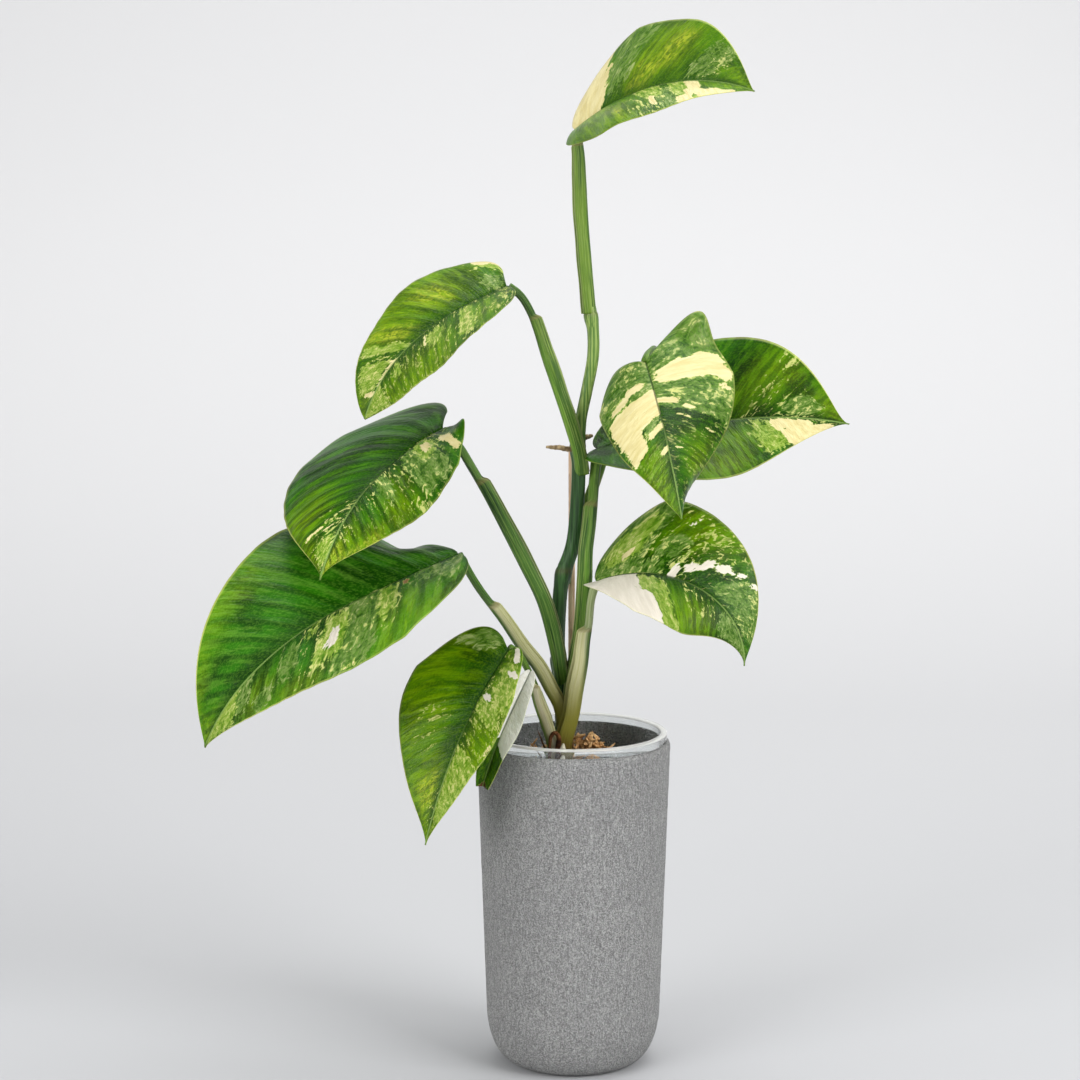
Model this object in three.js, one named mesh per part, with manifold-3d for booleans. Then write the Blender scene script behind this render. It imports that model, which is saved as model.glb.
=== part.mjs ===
// A potted variegated monstera lechleriana: nine leaves on winged stalks, a climbing stem
// with a thin wooden stake, and a clear inner cup of potting mix in a tall grey cover pot.
// Millimetres, +Z up. The origin is the centre of the pot's flat underside, and a viewer
// in front of the plant looks along +Y.
import * as THREE from 'three';
import { mergeVertices } from 'three/addons/utils/BufferGeometryUtils.js';
import Module from 'manifold-3d';

const wasm = await Module();
wasm.setup();

// Clearances and mesh fineness
const GAP = 0.3;
const ROUND_SIDES = 44;
const STEM_SIDES = 12;
const BLADE_ROWS = 17;
const MIDRIB_STEPS = 96;

// Cover pot: outside radii and heights, wall and floor
const POT_TOP = 168.5;
const POT_FOOT_R = 28.8;
const POT_SHOULDER = { r: 44.9, z: 29 };
const POT_RIM_R = 49.6;
// Inset and drop of the rounded rim's outer corners, and of the waist below it
const POT_LIP = [[0, 2.2], [0.6, 0.6], [1.8, 0]];
const POT_WAIST = [0.4, 14];
const POT_WALL = 3.2;
const POT_FLOOR = 5;

// Clear cup: it hangs by its rolled rim on the pot's rim
const CUP_RIM_TOP = 173.4;
const CUP_RIM_R = 48;
const CUP_RIM_DEPTH = 4.6;
const CUP_TOP_R = 45.6;
const CUP_FOOT_R = 36;
const CUP_BOTTOM = 16;
const CUP_WALL = 1;
const CUP_LIP = [[0, 1.2], [0.7, 0.2], [1.7, 0]];
const CUP_CROWN = 1.4;

// Potting mix: level at the wall, mound round the stems, chips that stand out of it
const MIX_LEVEL = 151;
const MIX_MOUND = 7;
const MOUND_CENTRE = [-3, 0];
const MOUND_SPREAD = 22;
const CHIP_COUNT = 16;
const CHIP_SEED = 7;
// Least chip size, how much more there may be, and the greatest tilt in degrees
const CHIP_LEAST = { width: 2.4, thick: 1.6, length: 9 };
const CHIP_MORE = { width: 1.6, thick: 1, length: 9 };
const CHIP_TILT = 35;

// Wooden stake and the depth of the stems in the mix
const STAKE = { x: -1, y: 9, r: 1.7, bottom: 40, top: 316 };
const SUNK = 146;

// Leaf blades
const BLADE_THICK = 0.7;
const MIDRIB_KEEL = 0.8;
const TIP_HALF_WIDTH = 0.6;
const OUTLINE_START = 0.004;
const LOBE_FADE = 6;
const WAVE_HEIGHT = 1.1;
const WAVES = 2.6;
const BLADE_COLUMNS = [0, 0.07, 0.28, 0.52, 0.78, 1];

// Each leaf: its blade starts at base and runs along a midrib of the given length. yaw is the
// heading at the base and its change to the tip, pitch the slope with its linear and square
// change, roll the tilt to the right side at the base and at the tip, all in degrees. Pairs
// named left and right are seen from the base on the upper face: halfWidth, the fold up from
// the midrib and the curl on to the margin at base and tip, how far the basal lobe reaches
// back and how far the side veins lean forward, as shares of the half width. outline holds
// the powers of its rise and fall. The stalk's points run from its foot to its leaf, and its
// section has a half width, a back, and sheath wings with a channel between them that end
// at the share wingEnd of its run. adaxial is the side that the wings are on.
const LEAVES = [
  {
    name: 'top', colour: '#6f9a3c', stalkColour: '#6c9a45',
    base: [0, 0, 478], yaw: [-26, -15], pitch: [38, -58, 2], roll: [30, 37],
    length: 108, outline: [0.55, 1.25], halfWidth: { left: 44, right: 43 },
    fold: { left: [22, 35], right: [15, 22] }, curl: { left: [-19, 2], right: [-30, -18] },
    lobe: { left: 0.25, right: 0.65 }, lean: { left: 0.35, right: 0.25 },
    stalk: [[8.1, 2, 386.9], [7, 2, 398], [5.5, 2, 415], [4, 2, 433], [3, 1, 452], [2.5, 0, 466],
      [1, 0, 477]],
    adaxial: [-1, -0.3, 0], section: { half: 3.2, back: 3, wing: 4.2, channel: 1.4 },
    wingEnd: 0.93, neck: 2.4,
  },
  {
    name: 'upper_left', colour: '#5c9428', stalkColour: '#6f9a3f',
    base: [-34, -5, 401], yaw: [179, 13], pitch: [-23, -17, -35], roll: [-24, -38],
    length: 101, outline: [0.25, 0.9], halfWidth: { left: 40, right: 40 },
    fold: { left: [14, 4], right: [10, 10] }, curl: { left: [-4, -19], right: [-11, -9] },
    lobe: { left: 0.25, right: 0.05 }, lean: { left: 0.35, right: 0.3 },
    stalk: [[1.5, -3, 317], [-3.5, -5, 334], [-8.5, -5, 349], [-14, -5, 365], [-18.5, -5, 379],
      [-22, -5, 388], [-27, -5, 396], [-33, -5, 400.6]],
    adaxial: [1, -0.1, 0], section: { half: 2.9, back: 2.4, wing: 4.8, channel: 2.2 },
    wingEnd: 0.8, neck: 2,
  },
  {
    name: 'mid_left', colour: '#3d7d2a', stalkColour: '#3f7a34',
    base: [-66, -12, 330], yaw: [206, 50], pitch: [-25, -23, 1], roll: [-17, -29],
    length: 113, outline: [0.35, 1.45], halfWidth: { left: 46, right: 64 },
    fold: { left: [19, -3], right: [-2, -15] }, curl: { left: [9, -27], right: [-21, -44] },
    lobe: { left: 0.2, right: 0.7 }, lean: { left: 0.4, right: 0.6 },
    stalk: [[-8.5, -5, 209], [-10.5, -7, 220], [-16.5, -7, 242], [-25.5, -8, 261], [-35, -9, 280],
      [-44.5, -10, 298], [-52, -10, 311], [-58, -11, 321], [-65, -12, 329]],
    adaxial: [1, -0.2, 0], section: { half: 3.1, back: 2.5, wing: 5.4, channel: 2.4 },
    wingEnd: 0.78, neck: 2.2,
  },
  {
    name: 'lower_left', colour: '#3f8226', stalkColour: '#7f9a62',
    base: [-58, -22, 268], yaw: [206, -15], pitch: [-19, 7, -57], roll: [-24, -52],
    length: 164, outline: [0.5, 1.15], halfWidth: { left: 54, right: 60 },
    fold: { left: [17, 19], right: [-1, 26] }, curl: { left: [1, 4], right: [-25, 17] },
    lobe: { left: 0.1, right: 0 }, lean: { left: 0.3, right: 0.2 },
    stalk: [[-7, -1, SUNK], [-6, -1.5, 165], [-8, -4, 186], [-13, -6, 196.5], [-19, -8, 208],
      [-27, -10, 219], [-36, -13, 233], [-48, -17, 250], [-57.8, -22, 267.6]],
    adaxial: [1, -0.3, 0], section: { half: 2.9, back: 2.2, wing: 5, channel: 2 },
    wingEnd: 0.76, neck: 2,
  },
  {
    name: 'low_left', colour: '#5f9a22', stalkColour: '#8fae5c',
    base: [-33, -32, 221], yaw: [215, 5], pitch: [-48, -28, 3], roll: [-11, -17],
    length: 106, outline: [0.45, 1.35], halfWidth: { left: 28, right: 40 },
    fold: { left: [17, 9], right: [18, 14] }, curl: { left: [0, -16], right: [0, -6] },
    lobe: { left: 0.5, right: 0.7 }, lean: { left: 0.3, right: 0.4 },
    stalk: [[-12, -5, SUNK], [-11.5, -4, 166], [-13.5, -6, 180], [-16.5, -10, 190], [-20, -14, 200],
      [-24, -20, 210], [-28, -26, 218], [-32, -31, 222]],
    adaxial: [1, 0.3, 0], section: { half: 2.2, back: 1.9, wing: 2.6, channel: 1 },
    wingEnd: 0.6, neck: 1.7,
  },
  {
    name: 'small', colour: '#cfcdb4', stalkColour: '#cfd0b2',
    base: [-22, -22, 208], yaw: [224, -5], pitch: [-54, -3, -17], roll: [-28, -23],
    length: 73, outline: [0.5, 0.85], halfWidth: { left: 11, right: 8 }, end: 0.86,
    fold: { left: [29, 32], right: [31, 31] }, curl: { left: [-12, -6], right: [-9, -9] },
    lobe: { left: 0.65, right: 0.75 }, lean: { left: 0.3, right: 0.35 },
    stalk: [[-10, -13, SUNK], [-11, -12.5, 165], [-13.5, -13, 175], [-16, -15, 183], [-18.5, -17, 190.5],
      [-20.5, -19, 198], [-22, -21, 206]],
    adaxial: [1, -0.5, 0], section: { half: 2.4, back: 1.8, wing: 4.4, channel: 1.6 },
    wingEnd: 0.9, neck: 1.6,
  },
  {
    name: 'front_right', colour: '#b9bf7c', stalkColour: '#5b8a3a',
    base: [35, -24, 364], yaw: [-77, 13], pitch: [-38, -35, 1], roll: [9, -8],
    length: 89, outline: [0.3, 1.05], halfWidth: { left: 45, right: 31 },
    fold: { left: [8, -15], right: [-12, 4] }, curl: { left: [-12, -59], right: [-57, -22] },
    lobe: { left: 1.15, right: 0.65 }, lean: { left: 0.05, right: 0.35 },
    stalk: [[-2.5, 7, 257], [0, 9, 266], [4, 11, 280], [9, 13, 292], [13, 16, 303], [18, 22, 318],
      [24, 30, 333], [31, 36, 346], [37, 33, 357], [40, 23, 364], [40.5, 9, 368], [39, -6, 368.5],
      [36.5, -16, 367], [35, -23, 364.5]],
    adaxial: [-1, 0, 0.2], section: { half: 2.6, back: 2.4, wing: 4.2, channel: 1.6 },
    wingEnd: 0.3, neck: 2,
  },
  {
    name: 'back_right', colour: '#4a8a20', stalkColour: '#4a7f2c',
    base: [12, 6, 318], yaw: [-2, -5], pitch: [17, -10, -18], roll: [28, 70],
    length: 129, outline: [0.75, 1.45], halfWidth: { left: 50, right: 45 },
    fold: { left: [-1, 24], right: [17, 6] }, curl: { left: [0, 0], right: [5, -14] },
    lobe: { left: 0.75, right: 1.65 }, lean: { left: 0.8, right: 0 },
    stalk: [[-3.5, 1, 178], [-1, -1, 189], [1, -2, 205], [3, -4, 221], [4.5, -5, 236], [6, -5, 252],
      [7, -4, 267], [8.5, -2, 280], [9.5, 0, 292], [10.5, 3, 304], [12, 5.6, 316]],
    adaxial: [-1, -0.3, 0], section: { half: 3, back: 2.6, wing: 6.2, channel: 2.4 },
    wingEnd: 0.82, neck: 2.7,
  },
  {
    name: 'lower_right', colour: '#7f9c63', stalkColour: '#b9bf8a',
    base: [11, -16, 253], yaw: [-18, 15], pitch: [22, -73, -42], roll: [26, 60],
    length: 102, outline: [0.6, 1.55], halfWidth: { left: 47, right: 40 },
    fold: { left: [12, 9], right: [23, -4] }, curl: { left: [-3, -9], right: [17, -32] },
    lobe: { left: 0.2, right: 0.65 }, lean: { left: 0.25, right: 0.25 },
    stalk: [[-4.5, -8, SUNK], [-3.5, -8, 167], [0.5, -9, 184], [2.5, -10, 197], [5, -12, 212],
      [6, -13, 221], [7.5, -15, 232], [8.5, -16, 243], [10.5, -16, 251.5]],
    adaxial: [-1, -0.5, 0], section: { half: 3.4, back: 2.2, wing: 6.6, channel: 2.6 },
    wingEnd: 0.78, neck: 2,
  },
];

// The climbing stem, from the mix to the foot of the top leaf's stalk, and its swollen nodes
const STEM_POINTS = [
  [-5, 3, 112], [-5.5, 3, 164], [-6.5, 3, 188], [-8, 3, 209], [-7, 3, 235], [-5, 3, 253], [-0.5, 3, 269],
  [1.5, 3, 286], [2.5, 2, 310], [2, 2, 318], [3.5, 2, 333], [6.5, 2, 348], [9.5, 2, 365], [9.5, 2, 378],
  [8.2, 2, 386.5],
];
const STEM_R = 3.6;
const STEM_TOP_R = 2.9;
const THINNING_HEIGHT = 322;
const NODE_HEIGHTS = [209, 254, 319, 385];
const NODE_SWELL = 0.7;
const NODE_SPREAD = 4;

// Two root stubs at the upper node
const ROOTS = [
  { name: 'aerial_root_left', points: [[-0.6, -1.6, 318.2], [-8, -3.6, 319.5], [-14, -6, 320]], r: 1.1 },
  { name: 'aerial_root_right', points: [[4.5, 4.6, 323.4], [7, 5.4, 324.1], [9.6, 6, 324.6]], r: 1.1 },
];

const COLOURS = {
  pot: '#8e9092', cup: '#e4e9e8', mix: '#4a3a2c', stake: '#cfa582', stem: '#2f5f2c', root: '#7a6650',
};

const radians = THREE.MathUtils.degToRad;
const mix = THREE.MathUtils.lerp;
const vector = (point) => new THREE.Vector3(...point);

// Solids and meshes

function toSolid(geometry) {
  const plain = geometry.clone();
  plain.deleteAttribute('normal');
  plain.deleteAttribute('uv');
  const merged = mergeVertices(plain);
  return new wasm.Manifold(new wasm.Mesh({
    numProp: 3,
    vertProperties: Float32Array.from(merged.attributes.position.array),
    triVerts: Uint32Array.from(merged.index.array),
  }));
}

function toGeometry(solid) {
  const mesh = solid.getMesh();
  const geometry = new THREE.BufferGeometry();
  geometry.setAttribute('position', new THREE.Float32BufferAttribute(mesh.vertProperties, 3));
  geometry.setIndex(Array.from(mesh.triVerts));
  return geometry;
}

// Cutting can leave a loose scrap, which is dropped
function largestPiece(solid) {
  const pieces = solid.decompose();
  return pieces.reduce((best, piece) => (piece.volume() > best.volume() ? piece : best));
}

function indexed(points, triangles) {
  const geometry = new THREE.BufferGeometry();
  const places = points.flatMap((point) => point.toArray());
  geometry.setAttribute('position', new THREE.Float32BufferAttribute(places, 3));
  geometry.setIndex(triangles.flat());
  return geometry;
}

function makeMesh(name, geometry, colour, roughness) {
  const material = new THREE.MeshStandardMaterial({ color: colour, roughness, metalness: 0 });
  const mesh = new THREE.Mesh(geometry, material);
  mesh.name = name;
  return mesh;
}

// A closed body round the Z axis from a profile of [radius, height] pairs
function lathe(profile) {
  const points = profile.map(([r, z]) => new THREE.Vector2(r, z));
  return new THREE.LatheGeometry(points, ROUND_SIDES).rotateX(Math.PI / 2);
}

// Leaf blades

function midribFrames(leaf) {
  const frames = [];
  const position = vector(leaf.base);
  let last = null;
  for (let i = 0; i <= MIDRIB_STEPS; i += 1) {
    const u = i / MIDRIB_STEPS;
    const yaw = radians(leaf.yaw[0] + leaf.yaw[1] * u);
    const pitch = radians(leaf.pitch[0] + leaf.pitch[1] * u + leaf.pitch[2] * u * u);
    const roll = radians(mix(leaf.roll[0], leaf.roll[1], u));
    const level = Math.cos(pitch);
    const along = new THREE.Vector3(level * Math.cos(yaw), level * Math.sin(yaw), Math.sin(pitch));
    const right = new THREE.Vector3(Math.sin(yaw), -Math.cos(yaw), 0);
    right.applyAxisAngle(along, roll);
    const up = new THREE.Vector3().crossVectors(right, along);
    if (last) {
      const step = leaf.length / MIDRIB_STEPS / 2;
      position.addScaledVector(last, step).addScaledVector(along, step);
    }
    last = along;
    frames.push({ position: position.clone(), along, right, up });
  }
  return frames;
}

function frameAt(frames, u) {
  const place = Math.min(u * MIDRIB_STEPS, MIDRIB_STEPS - 1e-6);
  const i = Math.floor(place);
  const blend = (key) => frames[i][key].clone().lerp(frames[i + 1][key], place - i);
  return { position: blend('position'), along: blend('along'), right: blend('right'), up: blend('up') };
}

// The half width's share at u, 1 where the blade is widest
function outlineShare([rise, fall], u) {
  const s = (u + OUTLINE_START) / (1 + OUTLINE_START);
  const peak = rise / (rise + fall);
  return (s / peak) ** rise * Math.min((1 - s) / (1 - peak), 1) ** fall;
}

// A point of the blade's middle surface: v runs from the midrib to the margin of one side
function bladePoint(leaf, frame, u, side, v, grow) {
  const sign = side === 'right' ? 1 : -1;
  const half = Math.max(leaf.halfWidth[side] * outlineShare(leaf.outline, u), TIP_HALF_WIDTH) + grow;
  const fold = radians(mix(...leaf.fold[side], u));
  const curl = radians(mix(...leaf.curl[side], u)) || 1e-4;
  const across = (Math.sin(fold + curl * v) - Math.sin(fold)) / curl;
  const wave = WAVE_HEIGHT * outlineShare(leaf.outline, u) * v * v
    * Math.sin(2 * Math.PI * (WAVES * u + (sign > 0 ? 0.25 : 0.6)));
  const lift = -(Math.cos(fold + curl * v) - Math.cos(fold)) / curl;
  const lean = leaf.lean[side] * u ** 0.8 - leaf.lobe[side] * (1 - u) ** LOBE_FADE;
  return frame.position.clone()
    .addScaledVector(frame.right, sign * across * half)
    .addScaledVector(frame.up, lift * half + wave)
    .addScaledVector(frame.along, lean * half * v);
}

// Rows of points from the left margin over the midrib to the right margin
function bladeGrid(leaf, grow) {
  const frames = midribFrames(leaf);
  const columns = [
    ...BLADE_COLUMNS.slice(1).reverse().map((v) => ({ side: 'left', v })),
    ...BLADE_COLUMNS.map((v) => ({ side: 'right', v })),
  ];
  const grid = [];
  for (let row = 0; row < BLADE_ROWS; row += 1) {
    const u = (row / (BLADE_ROWS - 1)) ** 1.5 * (leaf.end ?? 1);
    const frame = frameAt(frames, u);
    grid.push(columns.map(({ side, v }) => ({ u, v, point: bladePoint(leaf, frame, u, side, v, grow) })));
  }
  return grid;
}

function gridNormal(grid, row, column) {
  const at = (r, c) => grid[THREE.MathUtils.clamp(r, 0, grid.length - 1)][
    THREE.MathUtils.clamp(c, 0, grid[0].length - 1)].point;
  const along = at(row + 1, column).clone().sub(at(row - 1, column));
  const across = at(row, column + 1).clone().sub(at(row, column - 1));
  return across.cross(along).normalize();
}

// The blade's solid, with a keel under the midrib; grow swells it on all sides
function bladeGeometry(leaf, grow = 0) {
  const grid = bladeGrid(leaf, grow);
  const rows = grid.length;
  const width = grid[0].length;
  const upper = [];
  const lower = [];
  grid.forEach((line, row) => line.forEach(({ u, v, point }, column) => {
    const normal = gridNormal(grid, row, column);
    const keel = v === 0 ? MIDRIB_KEEL * (1 - u) : 0;
    upper.push(point.clone().addScaledVector(normal, BLADE_THICK / 2 + grow));
    lower.push(point.clone().addScaledVector(normal, -(BLADE_THICK / 2 + keel + grow)));
  }));
  const base = upper.length;
  const triangles = [];
  for (let row = 0; row < rows - 1; row += 1) {
    for (let column = 0; column < width - 1; column += 1) {
      const a = row * width + column;
      const [b, c, d] = [a + 1, a + width + 1, a + width];
      triangles.push([a, b, c], [a, c, d]);
      triangles.push([base + a, base + c, base + b], [base + a, base + d, base + c]);
    }
  }
  const rim = [];
  for (let column = 0; column < width - 1; column += 1) rim.push(column);
  for (let row = 0; row < rows - 1; row += 1) rim.push(row * width + width - 1);
  for (let column = width - 1; column > 0; column -= 1) rim.push((rows - 1) * width + column);
  for (let row = rows - 1; row > 0; row -= 1) rim.push(row * width);
  rim.forEach((a, i) => {
    const b = rim[(i + 1) % rim.length];
    triangles.push([a, base + a, base + b], [a, base + b, b]);
  });
  return indexed([...upper, ...lower], triangles);
}

// Stalks and stems

// A body swept along a smooth curve through points. outlineOf(t, angle) gives how far the
// section reaches sideways and towards the adaxial side, with angle 0 at that side.
function sweptGeometry(points, adaxial, stations, outlineOf) {
  const curve = new THREE.CatmullRomCurve3(points.map(vector), false, 'centripetal');
  const facing = vector(adaxial);
  const ring = [];
  stations.forEach((t) => {
    const centre = curve.getPointAt(t);
    const along = curve.getTangentAt(t);
    const front = facing.clone().addScaledVector(along, -facing.dot(along)).normalize();
    const side = new THREE.Vector3().crossVectors(along, front);
    for (let k = 0; k < STEM_SIDES; k += 1) {
      const [across, ahead] = outlineOf(t, (2 * Math.PI * k) / STEM_SIDES);
      ring.push(centre.clone().addScaledVector(side, across).addScaledVector(front, ahead));
    }
  });
  const last = (stations.length - 1) * STEM_SIDES;
  const triangles = [];
  for (let s = 0; s < stations.length - 1; s += 1) {
    for (let k = 0; k < STEM_SIDES; k += 1) {
      const a = s * STEM_SIDES + k;
      const b = s * STEM_SIDES + ((k + 1) % STEM_SIDES);
      triangles.push([a, b, a + STEM_SIDES], [b, b + STEM_SIDES, a + STEM_SIDES]);
    }
  }
  const foot = ring.length;
  const head = foot + 1;
  const middle = (first) => {
    const sum = new THREE.Vector3();
    for (let k = 0; k < STEM_SIDES; k += 1) sum.add(ring[first + k]);
    return sum.divideScalar(STEM_SIDES);
  };
  ring.push(middle(0), middle(last));
  for (let k = 0; k < STEM_SIDES; k += 1) {
    const next = (k + 1) % STEM_SIDES;
    triangles.push([foot, next, k], [head, last + k, last + next]);
  }
  return indexed(ring, triangles);
}

function evenStations(count) {
  return Array.from({ length: count }, (_, i) => i / (count - 1));
}

// The winged section of a stalk, and its round neck beyond the end of the wings
function stalkOutline(leaf, grow) {
  const { half, back, wing, channel } = leaf.section;
  return (t, angle) => {
    const winged = t <= leaf.wingEnd;
    const thin = THREE.MathUtils.smoothstep(t, leaf.wingEnd - 0.25, leaf.wingEnd + 0.02);
    const wide = mix(half, leaf.neck, thin) + grow;
    const rear = mix(back, leaf.neck, thin) + grow;
    const front = (winged ? mix(wing, wing * 0.85, thin) : leaf.neck) + grow;
    const groove = winged ? Math.max(channel - grow, 0) * Math.exp(-((Math.sin(angle / 2) * 3.4) ** 2)) : 0;
    const ahead = Math.cos(angle) > 0 ? front * Math.cos(angle) - groove : rear * Math.cos(angle);
    return [wide * Math.sin(angle), ahead];
  };
}

function stalkGeometry(leaf, grow = 0) {
  const below = evenStations(12).map((t) => t * leaf.wingEnd);
  const beyond = [0.012, 0.35, 0.7, 1].map((t) => mix(leaf.wingEnd, 1, t));
  return sweptGeometry(leaf.stalk, leaf.adaxial, [...below, ...beyond], stalkOutline(leaf, grow));
}

function stemGeometry(grow = 0) {
  const curve = new THREE.CatmullRomCurve3(STEM_POINTS.map(vector), false, 'centripetal');
  const outlineOf = (t, angle) => {
    const height = curve.getPointAt(t).z;
    const thin = THREE.MathUtils.smoothstep(height, THINNING_HEIGHT, THINNING_HEIGHT + 15);
    const swell = NODE_HEIGHTS.reduce((sum, z) => sum + Math.exp(-(((height - z) / NODE_SPREAD) ** 2)), 0);
    const r = mix(STEM_R, STEM_TOP_R, thin) + NODE_SWELL * swell + grow;
    return [r * Math.sin(angle), r * Math.cos(angle)];
  };
  return sweptGeometry(STEM_POINTS, [1, 0, 0], evenStations(40), outlineOf);
}

function roundRod(points, r, steps, taper = 1) {
  const outlineOf = (t, angle) => {
    const size = r * mix(1, taper, t ** 3);
    return [size * Math.sin(angle), size * Math.cos(angle)];
  };
  return sweptGeometry(points, [0, 0.3, 1], evenStations(steps), outlineOf);
}

function stakeGeometry(grow = 0) {
  const { x, y, r, bottom, top } = STAKE;
  const length = top - bottom + 2 * grow;
  return new THREE.CylinderGeometry(r + grow, r + grow, length, STEM_SIDES)
    .rotateX(Math.PI / 2)
    .translate(x, y, (top + bottom) / 2);
}

// Pot, cup and mix

function potGeometry() {
  const corner = [];
  for (let i = 1; i <= 6; i += 1) {
    const angle = (i / 6) * (Math.PI / 2);
    corner.push([
      POT_FOOT_R + (POT_SHOULDER.r - POT_FOOT_R) * Math.sin(angle) ** 0.9,
      POT_SHOULDER.z * (1 - Math.cos(angle)),
    ]);
  }
  const innerR = POT_RIM_R - POT_WALL;
  return lathe([
    [0, 0], [POT_FOOT_R, 0], ...corner,
    ...[POT_WAIST, ...POT_LIP].map(([inset, drop]) => [POT_RIM_R - inset, POT_TOP - drop]),
    [innerR + 0.4, POT_TOP], [innerR, POT_TOP - 1],
    [POT_SHOULDER.r - POT_WALL, POT_SHOULDER.z], [POT_SHOULDER.r - POT_WALL - 3.5, POT_SHOULDER.z / 2],
    [POT_FOOT_R, POT_FLOOR], [0, POT_FLOOR],
  ]);
}

function cupGeometry() {
  const lip = CUP_RIM_TOP - CUP_RIM_DEPTH;
  const inner = CUP_TOP_R - CUP_WALL;
  return lathe([
    [0, CUP_BOTTOM], [CUP_FOOT_R, CUP_BOTTOM], [CUP_TOP_R, lip - 0.6],
    [CUP_TOP_R + 0.2, CUP_RIM_TOP - CUP_CROWN], [CUP_RIM_R - CUP_WALL, CUP_RIM_TOP - CUP_CROWN],
    [CUP_RIM_R - CUP_WALL, lip], [CUP_RIM_R, lip],
    ...CUP_LIP.map(([inset, drop]) => [CUP_RIM_R - inset, CUP_RIM_TOP - drop]),
    [inner + 0.6, CUP_RIM_TOP - 0.3], [inner, CUP_RIM_TOP - CUP_CROWN],
    [CUP_FOOT_R - CUP_WALL, CUP_BOTTOM + CUP_WALL], [0, CUP_BOTTOM + CUP_WALL],
  ]);
}

// A small repeatable random source for the chips
function seededRandom(seed) {
  let state = seed;
  return () => {
    state = (state * 16807) % 2147483647;
    return state / 2147483647;
  };
}

function mixHeight(x, y) {
  const distance = Math.hypot(x - MOUND_CENTRE[0], y - MOUND_CENTRE[1]);
  return MIX_LEVEL + MIX_MOUND * Math.exp(-((distance / MOUND_SPREAD) ** 2));
}

function mixBody() {
  const bottom = CUP_BOTTOM + CUP_WALL + GAP;
  const wallSlope = (CUP_TOP_R - CUP_FOOT_R) / (CUP_RIM_TOP - CUP_RIM_DEPTH - CUP_BOTTOM);
  const radiusAt = (z) => CUP_FOOT_R - CUP_WALL - GAP - 0.2 + wallSlope * (z - CUP_BOTTOM);
  const rings = [0.85, 0.65, 0.45, 0.25];
  const top = rings.map((share) => [radiusAt(MIX_LEVEL) * share, MIX_LEVEL]);
  const side = [[radiusAt(bottom), bottom], [radiusAt(MIX_LEVEL), MIX_LEVEL]];
  const body = lathe([[0, bottom], ...side, ...top, [0, MIX_LEVEL]]);
  const points = body.attributes.position;
  for (let i = 0; i < points.count; i += 1) {
    const [x, y, z] = [points.getX(i), points.getY(i), points.getZ(i)];
    if (z > MIX_LEVEL - 1) points.setZ(i, mixHeight(x, y));
  }
  return toSolid(body);
}

// Bark and coir chips, half sunk, most of them right and left of the stems
function addChips(body) {
  const random = seededRandom(CHIP_SEED);
  let solid = body;
  for (let i = 0; i < CHIP_COUNT; i += 1) {
    const side = i % 3 === 0 ? -1 : 1;
    const x = side > 0 ? 5 + 20 * random() : -15 - 10 * random();
    const y = -12 + 24 * random();
    const size = (key) => CHIP_LEAST[key] + CHIP_MORE[key] * random();
    const length = size('length');
    const chip = new THREE.BoxGeometry(size('width'), size('thick'), length)
      .rotateX(radians(CHIP_TILT * (2 * random() - 1)))
      .rotateY(radians(CHIP_TILT * (2 * random() - 1)))
      .rotateZ(Math.PI * random())
      .translate(x, y, mixHeight(x, y) + length * 0.16);
    solid = solid.add(toSolid(chip));
  }
  return solid;
}

// The plant: later stalks are trimmed clear of the stem, the blades and the earlier stalks

function buildPlant(group) {
  const stem = toSolid(stemGeometry());
  const grownStem = toSolid(stemGeometry(GAP));
  const grownStake = toSolid(stakeGeometry(GAP));
  const grownBlades = LEAVES.map((leaf) => toSolid(bladeGeometry(leaf, GAP)));
  const grownStalks = [];
  const order = ['lower_right', 'lower_left', 'small', 'low_left', 'mid_left', 'back_right', 'front_right',
    'upper_left', 'top'];
  const stalks = {};
  order.forEach((name) => {
    const leaf = LEAVES.find((entry) => entry.name === name);
    let solid = toSolid(stalkGeometry(leaf));
    [grownStem, grownStake, ...grownBlades, ...grownStalks].forEach((cutter) => {
      solid = solid.subtract(cutter);
    });
    stalks[name] = largestPiece(solid);
    grownStalks.push(toSolid(stalkGeometry(leaf, GAP)));
  });

  group.add(makeMesh('main_stem', toGeometry(stem), COLOURS.stem, 0.5));
  const stake = toSolid(stakeGeometry()).subtract(grownStem);
  group.add(makeMesh('support_stake', toGeometry(stake), COLOURS.stake, 0.8));
  LEAVES.forEach((leaf) => {
    group.add(makeMesh(`petiole_${leaf.name}`, toGeometry(stalks[leaf.name]), leaf.stalkColour, 0.45));
    group.add(makeMesh(`leaf_${leaf.name}`, bladeGeometry(leaf), leaf.colour, 0.35));
  });
  ROOTS.forEach(({ name, points, r }) => {
    let solid = toSolid(roundRod(points, r, 6, 0.45)).subtract(grownStem);
    grownStalks.forEach((cutter) => {
      solid = solid.subtract(cutter);
    });
    group.add(makeMesh(name, toGeometry(largestPiece(solid)), COLOURS.root, 0.8));
  });
  return [grownStem, grownStake, ...grownStalks];
}

function buildPot(group, holes) {
  group.add(makeMesh('cover_pot', potGeometry(), COLOURS.pot, 0.95));
  group.add(makeMesh('inner_cup', cupGeometry(), COLOURS.cup, 0.1));
  let soil = addChips(mixBody());
  holes.forEach((hole) => {
    soil = soil.subtract(hole);
  });
  group.add(makeMesh('substrate', toGeometry(largestPiece(soil)), COLOURS.mix, 0.95));
}

const plant = new THREE.Group();
buildPot(plant, buildPlant(plant));

export default plant;
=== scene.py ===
"""Looks of the potted variegated monstera lechleriana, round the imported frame.

Blades, stalks, stem, pot, cup and potting mix are fine meshes built here from the same
driving dimensions as the solids. Lengths in the tables are millimetres, angles degrees,
and colours three display values.
"""

import math

import bpy
import numpy as np
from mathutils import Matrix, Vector, noise


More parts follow.
